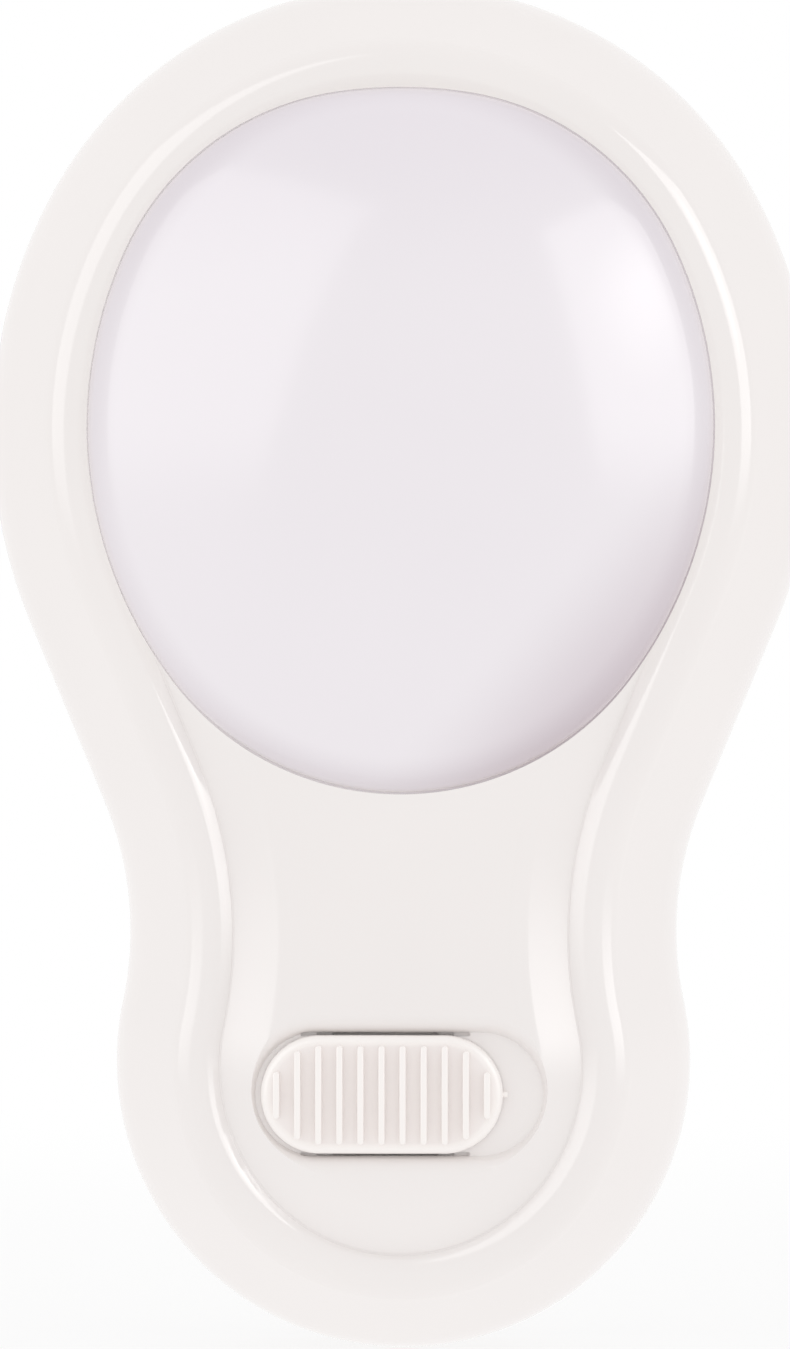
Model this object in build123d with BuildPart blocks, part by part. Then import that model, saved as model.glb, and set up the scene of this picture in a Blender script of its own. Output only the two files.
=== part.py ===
# Plug-in night light: keyhole-shaped casing, frosted egg-shaped lens, ribbed slide switch, two-pin plug.
# Lengths are in mm. The origin is the middle of the plug's face, between the pins.
# +Z is up, the front faces -Y and the pins point along +Y.
# A height called "front" is a distance in front of the plug's face, that is towards -Y.
from build123d import *
from math import atan2, cos, degrees, radians, sin, sqrt
import os

# Casing outline, seen from the front
top_radius = 30.8
side_radius = 38.4
neck_radius = 25.7
base_radius = 22.1
top_arc_angle = 62.0
flank_angle = 22.5
lobe_spacing = 52.0
top_centre_height = 5.0

# Casing depths and walls
boss_depth = 17.5
rear_shell_depth = 10.5
wall = 2.0
rear_edge_radius = 3.0
straight_wall_height = 2.5
wall_break_radius = 3.0
ridge_inset = 5.9
ridge_height = 11.4
ridge_radius = 1.9
crease_inset = 8.5
crease_height = 10.2
ceiling_height = 8.6
slope_wall_drop = 0.4
ceiling_inset = 6.3
groove_width = 0.25
groove_depth = 0.3
shoulder_step = 0.25
shoulder_width = 4.25
panel_rise = 1.2
parting_chamfer = 0.25

# Register lip of the rear shell
lip_clearance = 0.1
lip_thickness = 1.0
lip_height = 1.5
lip_root = 3.0

# Lens
lens_rim_width = 7.4
lens_side_radius = 32.2
lens_top_angle = 75.4
lens_base_angle = 126.7
lens_drop = 1.0
lens_gap = 0.15
lens_wall = 1.8
lens_flange = 1.5
lens_flange_thickness = 1.5
lens_rise_share = 0.487
lens_crown_across_share = 1.774
lens_crown_upright_share = 2.18
lens_edge_radius = 4.0
crown_half_angle = 42.0

# Slide switch knob and its slot
switch_drop = 2.1
knob_length = 18.4
knob_height = 9.0
knob_end_gap = 0.2
knob_side_gap = 0.1
knob_travel = 2.8
knob_proud = 0.6
knob_edge_radius = 0.6
skirt_length = 25.6
skirt_height = 11.0
skirt_thickness = 1.2
skirt_gap = 0.15
skirt_pocket_rise = 0.6
skirt_pocket_margin = 0.3
slot_lip_radius = 1.4
rib_count = 11
rib_pitch = 1.6
rib_width = 0.5
rib_rise = 0.5
rib_margin = 0.75
rib_edge_radius = 0.15
gate_radius = 0.2
gate_length = 0.35
gate_height = 0.2

# Circuit board
board_lift = 0.4
board_thickness = 1.6
board_lens_inset = 4.5
board_stem_width = 18.0
board_stem_overlap = 14.0
board_stem_drop = 7.4
board_corner_radius = 1.5

# Screws and their bosses
case_screw_radius = 1.3
case_screw_length = 11.0
case_head_radius = 2.1
case_head_height = 1.8
case_seat_depth = 4.5
case_boss_radius = 2.7
case_top_boss_radius = 2.2
case_tube_radius = 3.6
case_well_clearance = 0.3
case_bore_clearance = 0.2
case_top_inset = 5.5
case_waist_inset = 7.0
case_waist_drop = 2.9
case_base_inset = 9.1
case_top_boss_height = 6.8
screw_fit = 0.03
pilot_extra = 0.6
board_screw_radius = 1.0
board_screw_length = 5.0
board_head_radius = 1.9
board_head_height = 1.3
board_post_radius = 2.2
board_hole_clearance = 0.2
board_screw_spread = 6.5
board_screw_share = 0.788
head_round_share = 0.45
cross_length_share = 1.2
cross_width_share = 0.3
cross_depth_share = 0.55
screw_tip_share = 0.4

# Props on the rear shell that press the board forwards
prop_radius = 1.8
prop_upper_inset = 8.9
prop_upper_height = 8.0
prop_lower_spread = 6.5
prop_lower_drop = 3.9

# Reflector dish
reflector_wall = 1.0
reflector_foot_inset = 5.5
reflector_rim_grow = 0.3
reflector_rim_width = 1.2

# Lamps
lamp_ring_share = 0.406
lamp_ring_height = -0.5
lamp_count = 3
lamp_radius = 2.5
lamp_flange_radius = 2.9
lamp_flange_height = 1.0
lamp_height = 8.6
lamp_hole_gap = 0.3
lamp_lead_spacing = 2.54
lamp_lead_radius = 0.25
lead_hole_gap = 0.1
lead_tail = 1.5

# Plug boss, pins and their retainer
boss_width = 35.3
boss_height = 13.7
boss_shoulder_share = 0.66
boss_corner_radius = 3.0
boss_face_radius = 1.0
boss_face_thickness = 3.0
pin_spacing = 19.0
pin_radius = 2.0
pin_length = 19.0
pin_core_radius = 1.5
pin_tip_radius = 1.6
pin_collar_radius = 3.0
pin_collar_height = 1.5
pin_tail = 3.5
sleeve_radius = 1.8
sleeve_length = 10.0
sleeve_fit = 0.02
pin_hole_gap = 0.05
retainer_thickness = 2.0
retainer_gap = 0.3
retainer_pin_gap = 0.1
retainer_post_radius = 2.4
retainer_screw_length = 5.0

# Wires from the pins to the board
wire_radius = 0.6
wire_bend_radius = 6.0
wire_first_run = 7.0
wire_last_run = 6.4
wire_spread = 1.5
wire_climb = 3.0

# Parts on the back of the board
lead_radius = 0.3
lead_reach = 1.2
lead_bend_radius = 0.6
rest_gap = 0.1
dropper_width = 13.0
dropper_height = 6.0
dropper_depth = 7.5
dropper_edge_radius = 0.5
dropper_lamp_gap = 2.0
dropper_lead_spacing = 10.0
smoother_radius = 3.15
smoother_length = 11.0
smoother_edge_radius = 0.5
smoother_share = 0.327
smoother_lead_spacing = 2.5
diode_radius = 1.35
diode_length = 5.2
diode_count = 4
diode_pitch = 4.0
diode_share = 0.596
resistor_radius = 1.2
resistor_length = 6.3
resistor_edge_radius = 0.4
resistor_count = 2
resistor_pitch = 3.6
resistor_share = 0.923

# Slide switch under the knob
can_width = 17.0
can_height = 7.4
can_depth = 4.6
can_wall = 0.4
can_corner_radius = 0.6
base_thickness = 1.0
base_gap = 0.05
terminal_spacing = 3.2
terminal_count = 3
terminal_head_width = 1.6
terminal_head_height = 2.2
terminal_head_thickness = 0.3
terminal_leg_radius = 0.4
contact_length = 4.4
contact_height = 1.2
contact_thickness = 0.25
contact_gap = 0.03
slide_length = 9.0
slide_height = 6.2
slide_thickness = 2.2
stem_side = 3.6
stem_gap = 0.1
stem_reach = 1.0
stem_slot_gap = 0.3
stem_pocket_extra = 0.15

# Overrun for cuts that pass through a face
overrun = 3.0

# Heights in front of the plug's face
back_front = boss_depth
parting_front = back_front + rear_shell_depth
slope_front = parting_front + straight_wall_height
ridge_front = parting_front + ridge_height
crease_front = parting_front + crease_height
ceiling_front = parting_front + ceiling_height
groove_front = crease_front - groove_depth
plateau_front = crease_front + panel_rise
plateau_inset = crease_inset + groove_width + shoulder_width
floor_front = back_front + wall
board_back_front = parting_front + board_lift
board_face_front = board_back_front + board_thickness
flange_back_front = ceiling_front - lens_flange_thickness
skirt_face_front = ceiling_front + skirt_pocket_rise - skirt_gap
skirt_back_front = skirt_face_front - skirt_thickness
knob_top_front = plateau_front + knob_proud
case_seat_front = back_front + case_seat_depth
collar_front = boss_face_thickness + pin_collar_height
retainer_front = collar_front + retainer_thickness
pin_tail_front = collar_front + pin_tail
can_top_front = board_face_front + can_depth
base_top_front = board_face_front + base_thickness
contact_back_front = base_top_front + terminal_head_thickness + contact_gap
slide_back_front = contact_back_front + contact_thickness
slide_top_front = slide_back_front + slide_thickness
stem_top_front = knob_top_front - stem_reach

# Centres of the casing's arcs, as (across, up)
top_centre = (0, top_centre_height)
base_centre = (0, top_centre_height - lobe_spacing)
flank_clock = 90 + flank_angle
switch_height = base_centre[1] - switch_drop
knob_rest = -knob_travel / 2
slot_length = knob_length + knob_travel + 2 * knob_end_gap
slot_height = knob_height + 2 * knob_side_gap


def clock_point(centre, radius, angle):
    """Point on a circle at a clock angle, in degrees clockwise from straight up."""
    return (centre[0] + radius * sin(radians(angle)), centre[1] + radius * cos(radians(angle)))


def clock_arc(centre, radius, start, end):
    """Arc of a circle from one clock angle to another."""
    middle = (start + end) / 2
    return ThreePointArc(
        clock_point(centre, radius, start),
        clock_point(centre, radius, middle),
        clock_point(centre, radius, end),
    )


# The side arc continues the top arc, the flank leaves it straight, and the neck arc rolls onto the base arc
side_centre = clock_point(top_centre, top_radius - side_radius, top_arc_angle)
flank_start = clock_point(side_centre, side_radius, flank_clock)
flank_way = (cos(radians(flank_clock)), -sin(radians(flank_clock)))
neck_start = clock_point(flank_start, neck_radius, flank_clock)
neck_offset = (neck_start[0] - base_centre[0], neck_start[1] - base_centre[1])
neck_along = neck_offset[0] * flank_way[0] + neck_offset[1] * flank_way[1]
neck_reach = neck_radius + base_radius
neck_square = neck_along**2 - neck_offset[0] ** 2 - neck_offset[1] ** 2 + neck_reach**2
flank_length = -neck_along - sqrt(neck_square)
neck_centre = (neck_start[0] + flank_way[0] * flank_length, neck_start[1] + flank_way[1] * flank_length)
base_clock = degrees(atan2(neck_centre[0] - base_centre[0], neck_centre[1] - base_centre[1]))

# The lens is a chain of three arcs on each side
lens_top_radius = top_radius - lens_rim_width
lens_apex_front = ceiling_front + lens_top_radius * lens_rise_share
lens_crown_across = lens_top_radius * lens_crown_across_share
lens_crown_upright = lens_top_radius * lens_crown_upright_share
lens_top_centre = (0, top_centre_height - lens_drop)
lens_side_centre = clock_point(lens_top_centre, lens_top_radius - lens_side_radius, lens_top_angle)
lens_base_radius = lens_side_radius + lens_side_centre[0] / sin(radians(lens_base_angle))
lens_base_centre = clock_point(lens_side_centre, lens_side_radius - lens_base_radius, lens_base_angle)
lens_top = lens_top_centre[1] + lens_top_radius
lens_base = lens_base_centre[1] - lens_base_radius
lens_middle = (lens_top + lens_base) / 2

# Places on the board go by shares of the way from the top lobe's centre to the base lobe's
board_screw_height = top_centre_height - lobe_spacing * board_screw_share
smoother_centre = top_centre_height - lobe_spacing * smoother_share
diode_centre = top_centre_height - lobe_spacing * diode_share
resistor_centre = top_centre_height - lobe_spacing * resistor_share
board_stem_top = lens_base + board_stem_overlap
board_stem_base = switch_height - board_stem_drop

# Screws stand inside the outline at the top, at the waist below the lens, and at the base
waist_half_width = neck_centre[0] - neck_radius
case_top_place = (0, top_centre_height + top_radius - case_top_inset)
case_left_place = (case_waist_inset - waist_half_width, lens_base - case_waist_drop)
case_right_place = (waist_half_width - case_waist_inset, lens_base - case_waist_drop)
case_base_place = (0, base_centre[1] - base_radius + case_base_inset)
case_places = [case_top_place, case_left_place, case_right_place, case_base_place]
case_low_places = [case_left_place, case_right_place, case_base_place]
board_places = [(-board_screw_spread, board_screw_height), (board_screw_spread, board_screw_height)]
prop_upper_spread = lens_top_radius - prop_upper_inset
prop_lower_height = switch_height - prop_lower_drop
prop_places = [
    (-prop_upper_spread, prop_upper_height),
    (prop_upper_spread, prop_upper_height),
    (-prop_lower_spread, prop_lower_height),
    (prop_lower_spread, prop_lower_height),
]
pin_places = [(-pin_spacing / 2, 0), (pin_spacing / 2, 0)]
lamp_turn = 360 / lamp_count
lamp_ring_radius = lens_top_radius * lamp_ring_share
lamp_centre = (0, lamp_ring_height)
dropper_centre = lamp_ring_height + lamp_ring_radius + dropper_lamp_gap + dropper_height / 2
lamp_places = [clock_point(lamp_centre, lamp_ring_radius, lamp_turn * i) for i in range(lamp_count)]
lamp_lead_places = [(x + way * lamp_lead_spacing / 2, z) for x, z in lamp_places for way in (-1, 1)]
terminal_places = [
    ((i - (terminal_count - 1) / 2) * terminal_spacing, switch_height) for i in range(terminal_count)
]
diode_across = [(i - (diode_count - 1) / 2) * diode_pitch for i in range(diode_count)]
resistor_up = [resistor_centre + (i - (resistor_count - 1) / 2) * resistor_pitch for i in range(resistor_count)]


def upright_axis(centre, way):
    """Axis through an arc's centre, from front to back when way is 1."""
    return Axis((centre[0], 0, centre[1]), (0, way, 0))


def casing_area(inset):
    """Area inside the casing's outline, set in by a distance."""
    with BuildSketch() as area:
        with BuildLine():
            clock_arc(top_centre, top_radius - inset, 0, top_arc_angle)
            clock_arc(side_centre, side_radius - inset, top_arc_angle, flank_clock)
            Line(
                clock_point(side_centre, side_radius - inset, flank_clock),
                clock_point(neck_centre, neck_radius + inset, flank_clock + 180),
            )
            clock_arc(neck_centre, neck_radius + inset, flank_clock + 180, base_clock + 180)
            clock_arc(base_centre, base_radius - inset, base_clock, 180)
            mirror(about=Plane.YZ)
        make_face()
    return area.sketch


def rim_plane(centre, radius, angle):
    """Plane across the rim at a clock angle: across it the inset from the outline, up it the front height."""
    across, up = clock_point(centre, radius, angle)
    inward = (-sin(radians(angle)), 0, -cos(radians(angle)))
    if radius < 0:
        across, up = clock_point(centre, -radius, angle)
        inward = (sin(radians(angle)), 0, cos(radians(angle)))
    return Plane(origin=(across, 0, up), x_dir=inward, z_dir=(inward[2], 0, -inward[0]))


def rim_ring(section):
    """Ring round the casing whose cross-section is drawn as inset and front height."""
    with BuildPart() as ring:
        with BuildSketch(rim_plane(side_centre, side_radius, top_arc_angle)):
            add(section)
        revolve(axis=upright_axis(side_centre, 1), revolution_arc=flank_clock - top_arc_angle)
        with BuildSketch(rim_plane(side_centre, side_radius, flank_clock)):
            add(section)
        extrude(amount=-flank_length)
        with BuildSketch(rim_plane(neck_centre, -neck_radius, flank_clock + 180)):
            add(section)
        revolve(axis=upright_axis(neck_centre, -1), revolution_arc=flank_clock - base_clock)
        mirror(about=Plane.YZ)
        with BuildSketch(rim_plane(top_centre, top_radius, -top_arc_angle)):
            add(section)
        revolve(axis=upright_axis(top_centre, 1), revolution_arc=2 * top_arc_angle)
        with BuildSketch(rim_plane(base_centre, base_radius, base_clock)):
            add(section)
        revolve(axis=upright_axis(base_centre, 1), revolution_arc=2 * (180 - base_clock))
    return ring.part


def lens_area(grow):
    """Area of the egg-shaped lens, grown by a distance."""
    with BuildSketch() as area:
        with BuildLine():
            clock_arc(lens_top_centre, lens_top_radius + grow, 0, lens_top_angle)
            clock_arc(lens_side_centre, lens_side_radius + grow, lens_top_angle, lens_base_angle)
            clock_arc(lens_base_centre, lens_base_radius + grow, lens_base_angle, 180)
            mirror(about=Plane.YZ)
        make_face()
    return area.sketch


def boss_area(inset):
    """Flattened six-sided area of the plug boss with rounded corners, set in by a distance."""
    end_across = boss_width / 2 - boss_corner_radius
    shoulder_across = end_across * boss_shoulder_share
    shoulder_up = boss_height / 2 - boss_corner_radius
    with BuildSketch() as area:
        with Locations((-end_across, 0), (end_across, 0)):
            Circle(boss_corner_radius - inset)
        with GridLocations(2 * shoulder_across, 2 * shoulder_up, 2, 2):
            Circle(boss_corner_radius - inset)
        make_hull()
    return area.sketch


def lens_dome(grow, foot_front, sink, edge_radius):
    """Egg-shaped dome: the outside of the lens, or with a sink its hollow."""
    crown_plane = Plane(
        origin=(0, lens_crown_upright - lens_apex_front, lens_middle), x_dir=(1, 0, 0), z_dir=(0, 0, 1)
    ).rotated((crown_half_angle, 0, 0))
    across_radius = lens_crown_across - sink
    half_width = lens_top_radius + lens_flange
    crown_edge = lens_crown_upright - lens_crown_across + sqrt(across_radius**2 - half_width**2)
    with BuildPart() as dome:
        with BuildSketch(Plane.XZ.offset(foot_front)):
            add(lens_area(grow))
        extrude(amount=lens_apex_front - foot_front + overrun)
        with BuildSketch(crown_plane):
            with BuildLine():
                ThreePointArc(
                    (-half_width, -crown_edge), (0, sink - lens_crown_upright), (half_width, -crown_edge)
                )
                Polyline(
                    (half_width, -crown_edge),
                    (half_width, -overrun),
                    (-half_width, -overrun),
                    (-half_width, -crown_edge),
                )
            make_face()
        revolve(
            axis=Axis(crown_plane.origin, (1, 0, 0)),
            revolution_arc=-2 * crown_half_angle,
            mode=Mode.INTERSECT,
        )
        fillet(dome.faces().sort_by(Axis.Y)[0].edges(), edge_radius)
    return dome.part


def screw_set(places, seat_front, way, sizes):
    """Pan-head screws with cross recesses; their shanks run forwards when way is 1, back when it is -1."""
    head_radius, head_height, shank_radius, length = sizes
    with BuildPart() as screws:
        with BuildSketch(Plane.XZ.offset(seat_front)):
            with Locations(*places):
                Circle(head_radius)
        extrude(amount=-way * head_height)
        fillet(screws.edges().group_by(Axis.Y)[-1 if way > 0 else 0], head_height * head_round_share)
        with BuildSketch(Plane.XZ.offset(seat_front)):
            with Locations(*places):
                Circle(shank_radius)
        extrude(amount=way * length)
        chamfer(screws.edges().group_by(Axis.Y)[0 if way > 0 else -1], shank_radius * screw_tip_share)
        with BuildSketch(Plane.XZ.offset(seat_front - way * head_height)):
            with Locations(*places):
                Rectangle(head_radius * cross_length_share, head_radius * cross_width_share)
                Rectangle(head_radius * cross_width_share, head_radius * cross_length_share)
        extrude(amount=way * head_height * cross_depth_share, mode=Mode.SUBTRACT)
    return screws.part


def round_run(points, radius, bend):
    """Round wire along straight runs joined by bends."""
    with BuildPart() as run:
        with BuildLine() as path:
            FilletPolyline(*points, radius=bend)
        course = path.wire()
        with BuildSketch(Plane(origin=course @ 0, z_dir=course % 0)):
            Circle(radius)
        sweep(path=course)
    return run.part


# Cutter that rounds the lip of the switch slot
with BuildPart() as slot_lip:
    with BuildLine(Plane.XZ) as slot_edge:
        slot_run = (slot_length - slot_height) / 2
        Line((0, switch_height + slot_height / 2), (slot_run, switch_height + slot_height / 2))
        ThreePointArc(
            (slot_run, switch_height + slot_height / 2),
            (slot_length / 2, switch_height),
            (slot_run, switch_height - slot_height / 2),
        )
        Line((slot_run, switch_height - slot_height / 2), (0, switch_height - slot_height / 2))
    with BuildSketch(Plane.YZ):
        with BuildLine():
            lip_up = switch_height + slot_height / 2
            TangentArc(
                (-plateau_front, lip_up + slot_lip_radius),
                (slot_lip_radius - plateau_front, lip_up),
                tangent=(0, -1),
            )
            Line((slot_lip_radius - plateau_front, lip_up), (-plateau_front - overrun, lip_up))
            Line((-plateau_front - overrun, lip_up), (-plateau_front - overrun, lip_up + slot_lip_radius))
            Line((-plateau_front - overrun, lip_up + slot_lip_radius), (-plateau_front, lip_up + slot_lip_radius))
        make_face()
    sweep(path=slot_edge.wire())
    mirror(about=Plane.YZ)

# Cross-section of the front rim: wall, slope, ridge and crease edge
with BuildSketch() as rim_section:
    with BuildLine():
        Polyline(
            (0, parting_front),
            (0, slope_front),
            (ridge_inset, ridge_front),
            (crease_inset, crease_front),
            (crease_inset, ceiling_front),
            (ceiling_inset, ceiling_front),
            (wall, slope_front - slope_wall_drop),
            (wall, parting_front),
            close=True,
        )
    make_face()
    fillet(rim_section.vertices().sort_by(Axis.Y)[-1], ridge_radius)
    fillet(rim_section.vertices().group_by(Axis.X)[0].sort_by(Axis.Y)[-1], wall_break_radius)
    chamfer(rim_section.vertices().group_by(Axis.X)[0].sort_by(Axis.Y)[0], parting_chamfer)

# Cross-section of the panel's rounded shoulder beside the crease
shoulder_inset = crease_inset + groove_width
shoulder_front = crease_front - shoulder_step
with BuildSketch() as shoulder_section:
    with BuildLine():
        Line((plateau_inset, groove_front), (plateau_inset, plateau_front))
        TangentArc((plateau_inset, plateau_front), (shoulder_inset, shoulder_front), tangent=(-1, 0))
        Polyline((shoulder_inset, shoulder_front), (shoulder_inset, groove_front), (plateau_inset, groove_front))
    make_face()

# Front shell: rim, panel with crease and shoulder, lens opening, switch slot, bosses and posts
with BuildPart() as front_housing:
    add(rim_ring(rim_section.sketch))
    add(rim_ring(shoulder_section.sketch))
    with BuildSketch(Plane.XZ.offset(ceiling_front)):
        add(casing_area(crease_inset))
    extrude(amount=groove_front - ceiling_front)
    with BuildSketch(Plane.XZ.offset(groove_front)):
        add(casing_area(plateau_inset))
    extrude(amount=plateau_front - groove_front)
    with BuildSketch(Plane.XZ.offset(parting_front)):
        with Locations(*case_low_places):
            Circle(case_boss_radius)
    extrude(amount=ceiling_height)
    with BuildSketch(Plane.XZ.offset(parting_front)):
        with Locations(case_top_place):
            Circle(case_top_boss_radius)
    extrude(amount=case_top_boss_height)
    with BuildSketch(Plane.XZ.offset(board_face_front)):
        with Locations(*board_places):
            Circle(board_post_radius)
    extrude(amount=ceiling_front - board_face_front)
    with BuildSketch(Plane.XZ.offset(parting_front)):
        with Locations(*case_places):
            Circle(case_screw_radius + screw_fit)
    extrude(amount=case_seat_front + case_screw_length + pilot_extra - parting_front, mode=Mode.SUBTRACT)
    with BuildSketch(Plane.XZ.offset(board_face_front)):
        with Locations(*board_places):
            Circle(board_screw_radius + screw_fit)
    extrude(amount=board_screw_length, mode=Mode.SUBTRACT)
    with BuildSketch(Plane.XZ.offset(ceiling_front)):
        add(lens_area(0))
    extrude(amount=plateau_front - ceiling_front + overrun, mode=Mode.SUBTRACT)
    with BuildSketch(Plane.XZ.offset(ceiling_front)):
        with Locations((0, switch_height)):
            SlotOverall(
                skirt_length + knob_travel + 2 * skirt_pocket_margin, skirt_height + 2 * skirt_pocket_margin
            )
    extrude(amount=skirt_pocket_rise, mode=Mode.SUBTRACT)
    with BuildSketch(Plane.XZ.offset(ceiling_front)):
        with Locations((0, switch_height)):
            SlotOverall(slot_length, slot_height)
    extrude(amount=plateau_front - ceiling_front + overrun, mode=Mode.SUBTRACT)
    add(slot_lip.part, mode=Mode.SUBTRACT)

# Plug boss with a rounded face edge, before it is hollowed
with BuildPart() as plug_boss:
    with BuildSketch(Plane.XZ):
        add(boss_area(0))
    extrude(amount=boss_depth)
    fillet(plug_boss.faces().sort_by(Axis.Y)[-1].edges(), boss_face_radius)

# Cross-section of the rear rim: rounded back edge, wall and register lip
lip_inset = wall + lip_clearance
with BuildSketch() as back_section:
    with BuildLine():
        Polyline(
            (0, parting_front),
            (0, back_front),
            (crease_inset, back_front),
            (crease_inset, floor_front),
            (wall, floor_front),
            (wall, parting_front - lip_root),
            (lip_inset + lip_thickness, parting_front - lip_root + lip_clearance + lip_thickness),
            (lip_inset + lip_thickness, parting_front + lip_height),
            (lip_inset, parting_front + lip_height),
            (lip_inset, parting_front),
            close=True,
        )
    make_face()
    fillet(back_section.vertices().group_by(Axis.X)[0].sort_by(Axis.Y)[0], rear_edge_radius)
    chamfer(back_section.vertices().group_by(Axis.X)[0].sort_by(Axis.Y)[-1], parting_chamfer)

# Rear shell: rounded back, register lip, screw tubes and wells, board props and hollow plug boss
with BuildPart() as rear_housing:
    add(rim_ring(back_section.sketch))
    with BuildSketch(Plane.XZ.offset(back_front)):
        add(casing_area(crease_inset))
    extrude(amount=wall)
    with BuildSketch(Plane.XZ.offset(floor_front)):
        with Locations(*case_places):
            Circle(case_tube_radius)
    extrude(amount=parting_front - floor_front)
    with BuildSketch(Plane.XZ.offset(floor_front)):
        with Locations(*prop_places):
            Circle(prop_radius)
    extrude(amount=board_back_front - floor_front)
    add(plug_boss.part)
    with BuildSketch(Plane.XZ.offset(boss_face_thickness)):
        add(boss_area(wall))
    extrude(amount=floor_front - boss_face_thickness, mode=Mode.SUBTRACT)
    with BuildSketch(Plane.XZ.offset(boss_face_thickness)):
        Circle(retainer_post_radius)
    extrude(amount=pin_collar_height)
    with BuildSketch(Plane.XZ.offset(collar_front)):
        Circle(board_screw_radius + screw_fit)
    extrude(amount=retainer_thickness - retainer_screw_length - pilot_extra, mode=Mode.SUBTRACT)
    with BuildSketch(Plane.XZ):
        with Locations(*pin_places):
            Circle(pin_radius + pin_hole_gap)
    extrude(amount=boss_face_thickness, mode=Mode.SUBTRACT)
    with BuildSketch(Plane.XZ.offset(back_front)):
        with Locations(*case_places):
            Circle(case_head_radius + case_well_clearance)
    extrude(amount=case_seat_depth, mode=Mode.SUBTRACT)
    with BuildSketch(Plane.XZ.offset(case_seat_front)):
        with Locations(*case_places):
            Circle(case_screw_radius + case_bore_clearance)
    extrude(amount=parting_front - case_seat_front, mode=Mode.SUBTRACT)

# Frosted lens
with BuildPart() as diffuser_lens:
    add(lens_dome(-lens_gap, ceiling_front, 0, lens_edge_radius))
    with BuildSketch(Plane.XZ.offset(flange_back_front)):
        add(lens_area(lens_flange))
    extrude(amount=lens_flange_thickness)
    add(
        lens_dome(-lens_gap - lens_wall, flange_back_front, lens_wall, lens_edge_radius - lens_wall),
        mode=Mode.SUBTRACT,
    )

# Reflector dish between the board and the lens flange
with BuildPart() as reflector:
    with BuildSketch(Plane.XZ.offset(board_face_front)):
        add(lens_area(-reflector_foot_inset))
    with BuildSketch(Plane.XZ.offset(flange_back_front)):
        add(lens_area(reflector_rim_grow))
    loft(ruled=True)
    with BuildSketch(Plane.XZ.offset(board_face_front + reflector_wall)):
        add(lens_area(-reflector_foot_inset - reflector_rim_width))
    with BuildSketch(Plane.XZ.offset(flange_back_front)):
        add(lens_area(reflector_rim_grow - reflector_rim_width))
    loft(ruled=True, mode=Mode.SUBTRACT)
    with BuildSketch(Plane.XZ.offset(board_face_front)):
        with Locations(*lamp_places):
            Circle(lamp_flange_radius + lamp_hole_gap)
    extrude(amount=reflector_wall, mode=Mode.SUBTRACT)

# Circuit board
with BuildPart() as circuit_board:
    with BuildSketch(Plane.XZ.offset(board_back_front)) as board_shape:
        with Locations((0, (board_stem_top + board_stem_base) / 2)):
            RectangleRounded(board_stem_width, board_stem_top - board_stem_base, board_corner_radius)
        add(lens_area(-board_lens_inset))
        with Locations(*board_places):
            Circle(board_screw_radius + board_hole_clearance, mode=Mode.SUBTRACT)
        with Locations(*lamp_lead_places):
            Circle(lamp_lead_radius + lead_hole_gap, mode=Mode.SUBTRACT)
        with Locations(*terminal_places):
            Circle(terminal_leg_radius + lead_hole_gap, mode=Mode.SUBTRACT)
    extrude(amount=board_thickness)

# Lamps and their leads
with BuildPart() as leds:
    with BuildSketch(Plane.XZ.offset(board_face_front)):
        with Locations(*lamp_places):
            Circle(lamp_flange_radius)
    extrude(amount=lamp_flange_height)
    with BuildSketch(Plane.XZ.offset(board_face_front)):
        with Locations(*lamp_places):
            Circle(lamp_radius)
    extrude(amount=lamp_height - lamp_radius)
    for lamp_across, lamp_up in lamp_places:
        with Locations((lamp_across, lamp_radius - lamp_height - board_face_front, lamp_up)):
            Sphere(lamp_radius)

with BuildPart() as led_leads:
    with BuildSketch(Plane.XZ.offset(board_face_front)):
        with Locations(*lamp_lead_places):
            Circle(lamp_lead_radius)
    extrude(amount=-board_thickness - lead_tail)

# Film capacitor that drops the mains voltage
with BuildPart() as dropper_capacitor:
    with BuildSketch(Plane.XZ.offset(board_back_front - rest_gap)):
        with Locations((0, dropper_centre)):
            Rectangle(dropper_width, dropper_height)
    extrude(amount=-dropper_depth)
    fillet(dropper_capacitor.edges(), dropper_edge_radius)

with BuildPart() as dropper_leads:
    with BuildSketch(Plane.XZ.offset(board_back_front)):
        with Locations((-dropper_lead_spacing / 2, dropper_centre), (dropper_lead_spacing / 2, dropper_centre)):
            Circle(lead_radius)
    extrude(amount=-rest_gap)

# Electrolytic capacitor lying across the board
smoother_front = board_back_front - rest_gap - smoother_radius
with BuildPart() as smoothing_capacitor:
    with BuildSketch(Plane.YZ.offset(-smoother_length / 2)):
        with Locations((-smoother_front, smoother_centre)):
            Circle(smoother_radius)
    extrude(amount=smoother_length)
    fillet(smoothing_capacitor.edges().filter_by(GeomType.CIRCLE), smoother_edge_radius)

with BuildPart() as smoothing_leads:
    for smoother_way in (-1, 1):
        smoother_lead_up = smoother_centre + smoother_way * smoother_lead_spacing / 2
        add(
            round_run(
                [
                    (smoother_length / 2, -smoother_front, smoother_lead_up),
                    (smoother_length / 2 + lead_reach, -smoother_front, smoother_lead_up),
                    (smoother_length / 2 + lead_reach, -board_back_front, smoother_lead_up),
                ],
                lead_radius,
                lead_bend_radius,
            )
        )

# Four rectifier diodes side by side
diode_front = board_back_front - rest_gap - diode_radius
with BuildPart() as rectifier_diodes:
    with BuildSketch(Plane.XY.offset(diode_centre - diode_length / 2)):
        with Locations(*[(x, -diode_front) for x in diode_across]):
            Circle(diode_radius)
    extrude(amount=diode_length)

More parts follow.
